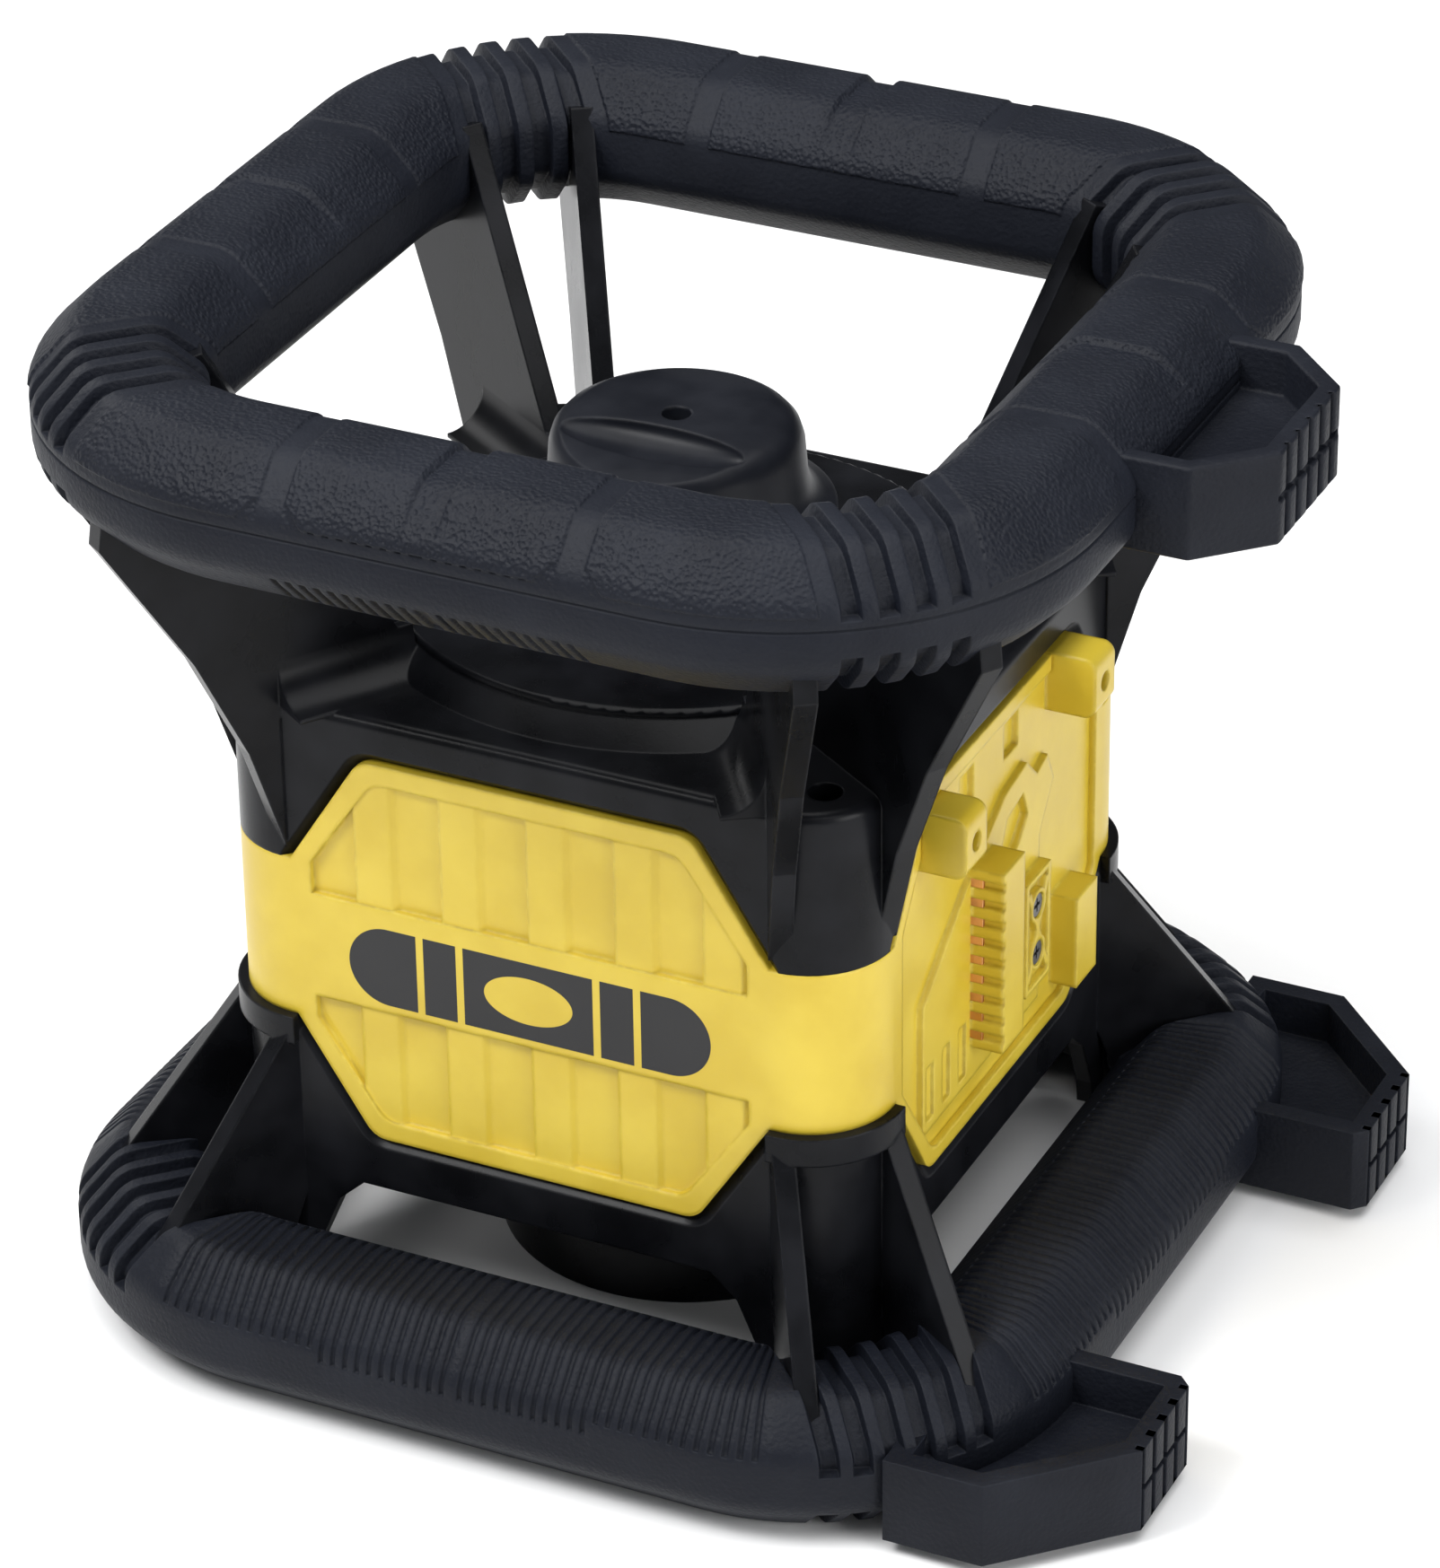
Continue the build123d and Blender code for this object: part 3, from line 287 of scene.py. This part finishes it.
def metal(name, colour, dull, gloss, stretch):
    """Bare metal: brushed or turned lines, tarnish in clouds, brighter edges."""
    finish = Finish(name)
    soft, edge = finish.edges(0.3 * MM)
    lines = finish.noise(900, 3, stretch=stretch)
    tarnish = finish.noise(130, 4).ramp(0.35, 0.75)
    shade = finish.mix(tarnish * (1 - edge), colour, dull)
    return finish.surface(base_color=shade, metallic=1.0, roughness=gloss + lines * 0.18 + tarnish * 0.1,
                          normal=finish.bump(lines, 0.02 * MM, 0.5, soft))


def cast_alloy():
    return metal("cast_alloy", (0.42, 0.42, 0.43), (0.28, 0.28, 0.29), 0.45, (1, 1, 1))


def turned_alloy():
    return metal("turned_alloy", (0.62, 0.62, 0.63), (0.45, 0.45, 0.46), 0.2, (0.1, 0.1, 4))


def brass():
    return metal("brass", (0.62, 0.42, 0.14), (0.34, 0.22, 0.09), 0.22, (0.1, 0.1, 4))


def screw_steel():
    return metal("screw_steel", (0.22, 0.22, 0.23), (0.12, 0.12, 0.125), 0.3, (1, 1, 0.2))


def pin_steel():
    return metal("pin_steel", (0.5, 0.5, 0.51), (0.36, 0.36, 0.37), 0.18, (1, 1, 1))


def motor_steel():
    return metal("motor_steel", (0.38, 0.38, 0.39), (0.25, 0.25, 0.26), 0.3, (1, 1, 0.1))


def contact_copper():
    return metal("contact_copper", (0.78, 0.42, 0.22), (0.5, 0.26, 0.15), 0.25, (1, 1, 0.2))


def glass(name, colour, clear, roughness):
    finish = Finish(name)
    soft, edge = finish.edges(0.3 * MM)
    smears = finish.noise(160, 4).ramp(0.5, 0.8)
    shade = finish.mix(edge * 0.5 + smears * 0.1, colour, tuple(0.5 * c + 0.1 for c in colour))
    return finish.surface(base_color=shade, roughness=roughness + smears * 0.12, transmission_weight=clear,
                          ior=1.5, normal=finish.bump(smears, 0.01 * MM, 0.2, soft))


def tinted_glass():
    return glass("tinted_glass", (0.06, 0.016, 0.014), 0.6, 0.05)


def clear_glass():
    return glass("clear_glass", (0.75, 0.8, 0.8), 0.9, 0.04)


def sensor_glass():
    return glass("sensor_glass", (0.5, 0.62, 0.4), 0.8, 0.06)


def light_pipe():
    finish = Finish("light_pipe")
    ripple = finish.noise(2500, 2)
    glow = finish.mix(ripple.ramp(0.3, 0.7), (0.08, 0.3, 0.1), (0.14, 0.45, 0.16))
    return finish.surface(base_color=glow, roughness=0.2 + ripple * 0.1, emission_color=glow,
                          emission_strength=0.3, normal=finish.bump(ripple, 0.02 * MM, 0.4))


def circuit_board():
    """Green resist over copper tracks."""
    finish = Finish("circuit_board")
    tracks = finish.node("TexBrick", {"offset": 0.37},
                         {"Vector": finish.place, "Scale": 260, "Mortar Size": 0.06}, out="Fac")
    weave = finish.noise(1800, 2)
    shade = finish.mix(tracks * 0.7 + weave * 0.2, (0.012, 0.10, 0.035), (0.05, 0.26, 0.10))
    return finish.surface(base_color=shade, roughness=0.3 + weave * 0.15,
                          normal=finish.bump(tracks, 0.03 * MM, 0.4))


# ---------------------------------------------------------------- mesh helpers
def start(kind, scale=(1, 1, 1), **settings):
    """Adds a primitive, sized by scale, and leaves it selected in edit mode."""
    bpy.ops.object.select_all(action="DESELECT")
    getattr(bpy.ops.mesh, "primitive_" + kind + "_add")(**settings)
    bpy.context.object.scale = scale
    bpy.ops.object.transform_apply(location=True, rotation=True, scale=True)
    bpy.ops.object.mode_set(mode="EDIT")
    bpy.ops.mesh.select_mode(type="VERT")


def pick(kind, accepts=lambda item: True):
    """Selects only the corners, edges or faces that the test accepts."""
    bpy.ops.mesh.select_mode(type=kind)
    bpy.ops.mesh.select_all(action="DESELECT")
    mesh = bmesh.from_edit_mesh(bpy.context.object.data)
    items = {"VERT": mesh.verts, "EDGE": mesh.edges, "FACE": mesh.faces}[kind]
    for item in items:
        if accepts(item):
            item.select_set(True)
    mesh.select_flush_mode()
    bmesh.update_edit_mesh(bpy.context.object.data)


def cut(at, facing, accepts=lambda face: True, drop=False):
    """Splits the faces that a plane crosses; with drop, what lies past it goes and the hole is filled."""
    pick("FACE", accepts)
    bpy.ops.mesh.bisect(plane_co=at, plane_no=facing, clear_outer=drop, use_fill=drop)


def push(distance, accepts):
    """Moves the accepted faces along their normals."""
    pick("FACE", accepts)
    bpy.ops.transform.shrink_fatten(value=distance)


def step(height, slope, accepts):
    """Raises the accepted faces by a height, or lowers them, with a sloping wall round them."""
    pick("FACE", accepts)
    bpy.ops.mesh.inset(thickness=slope, depth=height, use_boundary=False, use_even_offset=False)


def grow(shift):
    """Extrudes what is selected by a shift."""
    bpy.ops.mesh.extrude_region_move(TRANSFORM_OT_translate={"value": shift})


def modifier(kind, **settings):
    """Adds a modifier to the piece in hand and applies it."""
    made = bpy.context.object.modifiers.new(kind, kind)
    for key, value in settings.items():
        setattr(made, key, value)
    bpy.ops.object.modifier_apply(modifier=made.name)


def complete(name, stands_for, finish, soft, segments=2, angle=28, smooth=38):
    """Softens the edges, shades, names and places a finished piece on the housing."""
    bpy.ops.object.mode_set(mode="OBJECT")
    if soft:
        modifier("BEVEL", width=soft, segments=segments, limit_method="ANGLE",
                 angle_limit=math.radians(angle), use_clamp_overlap=True)
    bpy.ops.object.shade_smooth_by_angle(angle=math.radians(smooth))
    piece = bpy.context.object
    piece.name = name
    piece.data.name = name
    piece.data.materials.clear()
    piece.data.materials.append(finish)
    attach(piece, "housing")
    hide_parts(stands_for)
    return piece


# ---------------------------------------------------------------- bumper rings
RING_WIDTH = 40 * MM
RING_BEVEL = 10.5 * MM
HANDLE_CORNER = 52 * MM
BASE_CORNER = 58 * MM
OUTSIDE = 100 * MM  # past this from the middle, a ring's faces are on its outer half
PAD_END = 32 * MM
PAD_NEXT = 38 * MM
PAD_DROP = 13 * MM
PAD_CORNER = 5 * MM
FLUTE_HALF = 2.3 * MM
FLUTE_SLOPE = 0.55 * MM
FLUTE_DEPTH = 2.8 * MM
FLUTE_ZONE = 18.5 * MM
FLUTE_PITCH_HANDLE = 8 * MM
FLUTE_PITCH_BASE = 7.3 * MM
PARTING = 20 * MM
PARTING_HALF = 0.4 * MM
PARTING_DEPTH = 0.35 * MM
NOTCH_HALF = 3.5 * MM
NOTCH_DEPTH = 1.4 * MM
GROOVE_DEPTH = 0.8 * MM
GROOVE_SLOPE = 0.3 * MM
FINGER_REACH = 37 * MM
FINGER_STRIP = 1.7 * MM
TREAD_STRIPS = 38
TREAD_STRIP = BASE_CORNER / TREAD_STRIPS
TREAD_ARC_STRIPS = 10
TREAD_ARC = math.radians(15)
TREAD_SIDE = 34 * MM
TREAD_LOW = 20.5 * MM


def along_tube(point):
    """Distance from the middle of the nearest side of a ring."""
    return min(abs(point.x), abs(point.y))


def across_tube(point):
    """Distance from the ring's middle to the side that a point is on."""
    return max(abs(point.x), abs(point.y))


def from_diagonal(point):
    """Signed distance from the corner's diagonal in plan."""
    return (point.x + point.y) / math.sqrt(2)


def outward(face):
    """Whether a face looks away from the ring's middle."""
    point = face.calc_center_median()
    return face.normal.x * point.x + face.normal.y * point.y > 0.6 * math.hypot(point.x, point.y)


def tube_quarter(low, high, corner, marks, arcs):
    """Open tube from the middle of the front side, round the corner, to the middle of the right side."""
    outer = high.x - RAISE
    top = high.z - RAISE
    width = RING_WIDTH - RAISE
    height = top - low.z
    start("plane", size=1, location=(0, -outer + width / 2, low.z + height / 2), rotation=(0, QUARTER, 0),
          scale=(height, width, 1))
    bpy.ops.mesh.bevel(affect="VERTICES", offset=RING_BEVEL)
    pick("VERT")
    bpy.ops.mesh.bevel(affect="VERTICES", offset=3 * MM, segments=3)
    bpy.ops.mesh.delete(type="ONLY_FACE")
    pick("EDGE")
    stops = [0.0, *sorted(marks), corner]
    for near, far in zip(stops, stops[1:]):
        grow((far - near, 0, 0))
    for steps, angle in arcs:
        bpy.ops.mesh.spin(steps=steps, angle=angle, center=(corner, -corner, 0), axis=(0, 0, -1))
    for near, far in zip(reversed(stops[:-1]), reversed(stops[1:])):
        grow((0, far - near, 0))
    bpy.ops.mesh.select_all(action="SELECT")
    bpy.ops.mesh.normals_make_consistent(inside=False)


def flutes(count, pitch, high, ledge_low, ledge_high):
    """Parallel grooves across a corner, stopped by a plain band at the parting line outside."""
    first = -(count - 1) / 2
    slant = Vector((1, 1, 0)).normalized()
    reach = (count / 2 + 1) * pitch
    corner_outside = high.x * 0.68 * math.sqrt(2)

    def near_corner(face):
        return abs(from_diagonal(face.calc_center_median())) < reach

    for z in (ledge_low, ledge_high):
        cut((0, 0, z), (0, 0, 1), near_corner)
    centres = [(first + index) * pitch for index in range(count)]
    for centre in centres:
        for side in (-1, 1):
            cut(slant * (centre + side * FLUTE_HALF), slant)

    def in_groove(face):
        point = face.calc_center_median()
        plain = ledge_low < point.z < ledge_high and math.hypot(point.x, point.y) > corner_outside
        return not plain and any(abs(from_diagonal(point) - centre) < FLUTE_HALF for centre in centres)

    step(-FLUTE_DEPTH, FLUTE_SLOPE, in_groove)


def pads(high):
    """Raised grip pads over the top and shoulders of a ring, with their lower corners cut off."""
    edge_z = high.z - PAD_DROP
    slant = Vector((1, 1, 0)).normalized()
    cut((0, 0, edge_z), (0, 0, 1))
    for side in (-1, 1):
        cut(slant * side * FLUTE_ZONE, slant)

    def corner_side(place, z):
        """Over 0 where a place is below the slanting edge of either pad's corner."""
        past = place - PAD_END if place < PAD_END else PAD_NEXT - place
        return past - (z - edge_z - PAD_CORNER)

    def low_on_side(face):
        point = face.calc_center_median()
        return edge_z < point.z < edge_z + PAD_CORNER and outward(face)

    for place, lean in ((PAD_END, 1), (PAD_NEXT, -1)):
        cut((place, 0, edge_z + PAD_CORNER), (lean, 0, -1),
            lambda face: low_on_side(face) and face.calc_center_median().y < -OUTSIDE)
        cut((0, -place, edge_z + PAD_CORNER), (0, -lean, -1),
            lambda face: low_on_side(face) and face.calc_center_median().x > OUTSIDE)

    def in_pad(face):
        point = face.calc_center_median()
        place = along_tube(point)
        cut_off = outward(face) and corner_side(place, point.z) > 0
        return point.z > edge_z and not cut_off and (
            place < PAD_END or (place > PAD_NEXT and abs(from_diagonal(point)) > FLUTE_ZONE))

    step(RAISE, RAISE, in_pad)


def mirror_ring():
    """Makes the whole ring from its quarter."""
    bpy.ops.object.mode_set(mode="OBJECT")
    modifier("MIRROR", use_axis=(True, True, False), merge_threshold=0.01 * MM)
    bpy.ops.object.mode_set(mode="EDIT")
    pick("VERT")
    bpy.ops.mesh.remove_doubles(threshold=0.01 * MM)
    bpy.ops.mesh.normals_make_consistent(inside=False)


def handle_rubber(finish):
    low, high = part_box("handle_grip")
    strips = int(FINGER_REACH / FINGER_STRIP)
    finger_marks = [number * FINGER_STRIP for number in range(1, strips + 1)]
    marks = {round(mark, 6) for mark in [NOTCH_HALF, NOTCH_HALF + MM, PAD_END, PAD_NEXT, *finger_marks]}
    tube_quarter(low, high, HANDLE_CORNER, marks, [(20, QUARTER)])
    flutes(4, FLUTE_PITCH_HANDLE, high, low.z + 13.5 * MM, low.z + 22 * MM)
    pads(high)
    push(-NOTCH_DEPTH,
         lambda face: along_tube(face.calc_center_median()) < NOTCH_HALF and face.normal.z > 0.8)
    parting_z = low.z + PARTING
    for z in (parting_z - PARTING_HALF, parting_z + PARTING_HALF):
        cut((0, 0, z), (0, 0, 1), outward)
    step(-PARTING_DEPTH, 0.1 * MM,
         lambda face: outward(face) and abs(face.calc_center_median().z - parting_z) < PARTING_HALF)

    def in_finger_groove(face):
        point = face.calc_center_median()
        strip = int(point.x / FINGER_STRIP)
        shoulder = -0.85 < face.normal.z < -0.5
        return strip < strips and point.y < -OUTSIDE and strip % 2 == 0 and shoulder

    step(-GROOVE_DEPTH, GROOVE_SLOPE, in_finger_groove)
    mirror_ring()
    return complete("handle_rubber", "handle_grip", finish, 0.5 * MM)


def base_rubber(finish):
    low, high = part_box("base_grip")
    marks = [number * TREAD_STRIP for number in range(1, TREAD_STRIPS)]
    arcs = [(TREAD_ARC_STRIPS, TREAD_ARC), (16, QUARTER - 2 * TREAD_ARC), (TREAD_ARC_STRIPS, TREAD_ARC)]
    tube_quarter(low, high, BASE_CORNER, marks, arcs)
    flutes(6, FLUTE_PITCH_BASE, high, low.z + 9 * MM, low.z + 20 * MM)
    cut((0, 0, TREAD_LOW), (0, 0, 1),
        lambda face: outward(face) and along_tube(face.calc_center_median()) < TREAD_SIDE)

    def strip_number(point):
        if along_tube(point) < BASE_CORNER:
            return int(along_tube(point) / TREAD_STRIP)
        turn = math.atan2(along_tube(point) - BASE_CORNER, across_tube(point) - BASE_CORNER)
        return TREAD_STRIPS + int(turn / TREAD_ARC * TREAD_ARC_STRIPS)

    def in_tread_groove(face):
        point = face.calc_center_median()
        strip = strip_number(point)
        if strip % 2 == 0 or strip >= TREAD_STRIPS + TREAD_ARC_STRIPS:
            return False
        on_shoulder = face.normal.z > 0.25 and across_tube(point) > OUTSIDE * 0.93
        on_side = outward(face) and point.z > TREAD_LOW and along_tube(point) < TREAD_SIDE
        return on_shoulder or on_side

    step(-GROOVE_DEPTH, GROOVE_SLOPE, in_tread_groove)
    mirror_ring()
    return complete("base_rubber", "base_grip", finish, 0.25 * MM, segments=1)


# ---------------------------------------------------------------- side feet
FOOT_RIB = 6.5 * MM
RIB_GAP = 1.1 * MM
SPLIT_HALF = 0.8 * MM
RIB_DEPTH = 2 * MM


def foot(name, node, finish, near, slants, pocket_floor, pocket_rim):
    """Block from inside the ring out to a ribbed end, with a pocket in its top."""
    low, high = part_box(node)
    centre = (low + high) / 2
    length = high.x - near
    start("cube", size=1, location=(near + length / 2, centre.y, centre.z),
          scale=(length, high.y - low.y, high.z - low.z))
    for at, facing in slants:
        cut((*at, 0), (*facing, 0), drop=True)
    top = high.z - 0.01 * MM
    pick("FACE", lambda face: face.calc_center_median().z > top)
    bpy.ops.mesh.inset(thickness=pocket_rim, depth=0)
    grow((0, 0, pocket_floor - high.z))
    end = high.x - 0.01 * MM
    middle = end_middle(end)

    def on_end(face):
        return face.calc_center_median().x > end

    ribs = [middle + FOOT_RIB * shift for shift in (-2, -1, 0, 1, 2)]
    for rib in ribs:
        for side in (-1, 1):
            cut((0, rib + side * RIB_GAP, 0), (0, 1, 0), on_end)
    for side in (-1, 1):
        cut((0, 0, centre.z + side * SPLIT_HALF), (0, 0, 1), on_end)

    def in_gap(face):
        point = face.calc_center_median()
        return on_end(face) and (any(abs(point.y - rib) < RIB_GAP for rib in ribs)
                                 or abs(point.z - centre.z) < SPLIT_HALF)

    pick("FACE", in_gap)
    grow((-RIB_DEPTH, 0, 0))
    return complete(name, node, finish, 1.0 * MM, segments=3)


def end_middle(reach):
    """Middle along Y of the flat end that lies past a reach along X."""
    mesh = bmesh.from_edit_mesh(bpy.context.object.data)
    places = [corner.co.y for corner in mesh.verts if corner.co.x > reach]
    return (min(places) + max(places)) / 2


# ---------------------------------------------------------------- turret knob
def turret_knob(finish):
    low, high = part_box("turret_cap")
    skirt = high.x
    top = high.z
    base = low.z
    ceiling = base + 19.5 * MM
    profile = [
        (0, ceiling), (25.5 * MM, ceiling), (25.5 * MM, base + 2 * MM),
        (33 * MM, base + 2 * MM), (33 * MM, base), (skirt, base), (skirt, base + 3 * MM),
        (33.6 * MM, base + 3.8 * MM), (31.4 * MM, base + 5.4 * MM), (30 * MM, base + 8 * MM),
        (29.4 * MM, base + 11 * MM), (28.8 * MM, base + 19 * MM), (27.9 * MM, top - 3.6 * MM),
        (26.2 * MM, top - 1.7 * MM), (23.6 * MM, top - 0.5 * MM), (20 * MM, top), (0, top),
    ]
    start("plane", size=MM)
    bpy.ops.mesh.merge(type="CENTER")
    bpy.ops.transform.translate(value=(profile[0][0], 0, profile[0][1]))
    for (radius, height), (wider, higher) in zip(profile, profile[1:]):
        grow((wider - radius, 0, higher - height))
    pick("VERT")
    bpy.ops.mesh.spin(steps=96, angle=2 * math.pi, center=(0, 0, 0), axis=(0, 0, 1))
    pick("VERT")
    bpy.ops.mesh.remove_doubles(threshold=0.01 * MM)
    bpy.ops.mesh.normals_make_consistent(inside=False)

    def above_ceiling(face):
        return face.calc_center_median().z > ceiling + 0.1 * MM

    for side, ridge, drop in ((-1, 5 * MM, 4.0 * MM), (1, 12 * MM, 2.5 * MM)):
        slope = Vector((0, side * drop, 24 * MM)).normalized()
        cut((0, side * ridge, top), slope, above_ceiling, drop=True)
    bpy.ops.object.mode_set(mode="OBJECT")
    knob = bpy.context.object
    hollow(knob, "uv_sphere", segments=48, ring_count=24, radius=1,
           location=(0, -13 * MM, top - 0.8 * MM), scale=(23 * MM, 6.5 * MM, 4.2 * MM))
    hollow(knob, "cylinder", vertices=32, radius=3.4 * MM, depth=20 * MM, location=(0, 0, top))
    bpy.ops.object.mode_set(mode="EDIT")
    return complete("turret_knob", "turret_cap", finish, 0.6 * MM, segments=3)


def hollow(piece, kind, **settings):
    """Cuts a primitive's shape out of a piece."""
    start(kind, **settings)
    bpy.ops.object.mode_set(mode="OBJECT")
    cutter = bpy.context.object
    bpy.ops.object.select_all(action="DESELECT")
    bpy.context.view_layer.objects.active = piece
    piece.select_set(True)
    modifier("BOOLEAN", operation="DIFFERENCE", object=cutter, solver="EXACT")
    bpy.data.objects.remove(cutter)


# ---------------------------------------------------------------- making it
makers = {maker.__name__: maker for maker in (
    black_shell, yellow_shell, grip_rubber, foot_rubber, cap_plastic, cast_alloy, turned_alloy, brass,
    screw_steel, pin_steel, motor_steel, seal_rubber, belt_rubber, button_rubber, tinted_glass, clear_glass,
    sensor_glass, contact_copper, keypad_black, light_pipe, circuit_board, nut_plastic)}
for plain in list(bpy.data.materials):
    bpy.data.materials.remove(plain)
finishes = {name: maker() for name, maker in makers.items()}
for part in frame["record"]["subparts"]:
    for material_slot in nodes[part["node"]].material_slots:
        material_slot.material = finishes[part["material_slot"]]

handle_rubber(finishes["grip_rubber"])
base_rubber(finishes["grip_rubber"])
handle_slants = [((146.5 * MM, side * 21.5 * MM), (14.5, side * 34.5)) for side in (-1, 1)]
handle_slants += [((150.5 * MM, side * 18 * MM), (3.5, side * 4)) for side in (-1, 1)]
foot("handle_rest", "handle_foot", finishes["foot_rubber"], 116 * MM, handle_slants, 228 * MM, 4.5 * MM)
for name, node, side in (("front_rest", "front_base_foot", -1), ("rear_rest", "rear_base_foot", 1)):
    base_slants = [((147.5 * MM, side * 88 * MM), (22.7, side * 57.5)),
                   ((150.5 * MM, side * 84 * MM), (4, side * 3)),
                   ((150.5 * MM, side * 57 * MM), (3, side * -3))]
    foot(name, node, finishes["foot_rubber"], 100 * MM, base_slants, 14 * MM, 5 * MM)
turret_knob(finishes["cap_plastic"])

# ---------------------------------------------------------------- stage, light and camera
def area_light(name, place, aim, size, power):
    lamp = bpy.data.lights.new(name, "AREA")
    lamp.shape = "RECTANGLE"
    lamp.size, lamp.size_y = size
    lamp.energy = power
    holder = bpy.data.objects.new(name, lamp)
    bpy.context.scene.collection.objects.link(holder)
    holder.location = place
    holder.rotation_euler = (Vector(aim) - Vector(place)).to_track_quat("-Z", "Y").to_euler()


def pale_floor():
    bpy.ops.object.select_all(action="DESELECT")
    bpy.ops.mesh.primitive_plane_add(size=14, location=(0, 0, 0))
    floor = bpy.context.object
    floor.name = "floor"
    finish = Finish("pale_floor")
    cloud = finish.noise(3, 3)
    shade = finish.mix(cloud, (0.86, 0.86, 0.865), (0.90, 0.90, 0.90))
    floor.data.materials.append(finish.surface(base_color=shade, roughness=0.8 + cloud * 0.1))


pale_floor()
centre = (0, 0, 0.12)
area_light("overhead", (0.1, -0.2, 1.6), centre, (2.2, 2.0), 42)
area_light("front_left_high", (-0.57, -0.78, 1.29), centre, (0.6, 0.5), 14)
area_light("front_left", (-1.3, -1.5, 0.7), centre, (1.0, 1.0), 2)
area_light("right_side", (1.7, -0.5, 0.6), centre, (0.9, 1.0), 18)
area_light("left_rim", (-1.5, 0.6, 0.9), centre, (0.6, 0.8), 7)

world = bpy.data.worlds.new("studio")
world.use_nodes = True
world.node_tree.nodes["Background"].inputs["Color"].default_value = (0.93, 0.96, 1.0, 1)
world.node_tree.nodes["Background"].inputs["Strength"].default_value = 0.16
bpy.context.scene.world = world
bpy.context.scene.view_settings.view_transform = "Standard"

AZIMUTH, ELEVATION, ROLL = math.radians(25.85), math.radians(30.01), math.radians(-0.86)
DISTANCE = 1508.8 * MM
SLIDE_RIGHT, SLIDE_UP = 8.58 * MM, -5.36 * MM
back = Vector((math.sin(AZIMUTH) * math.cos(ELEVATION), -math.cos(AZIMUTH) * math.cos(ELEVATION),
               math.sin(ELEVATION)))
level = Vector((math.cos(AZIMUTH), math.sin(AZIMUTH), 0))
upward = back.cross(level)
right = level * math.cos(ROLL) + upward * math.sin(ROLL)
up = upward * math.cos(ROLL) - level * math.sin(ROLL)
camera_data = bpy.data.cameras.new("camera")
camera_data.lens = 150.45
camera_data.sensor_width = 36
camera = bpy.data.objects.new("camera", camera_data)
bpy.context.scene.collection.objects.link(camera)
camera.matrix_world = Matrix.Translation(
    Vector(centre) + back * DISTANCE + right * SLIDE_RIGHT + up * SLIDE_UP
) @ Matrix((right, up, back)).transposed().to_4x4()
bpy.context.scene.camera = camera
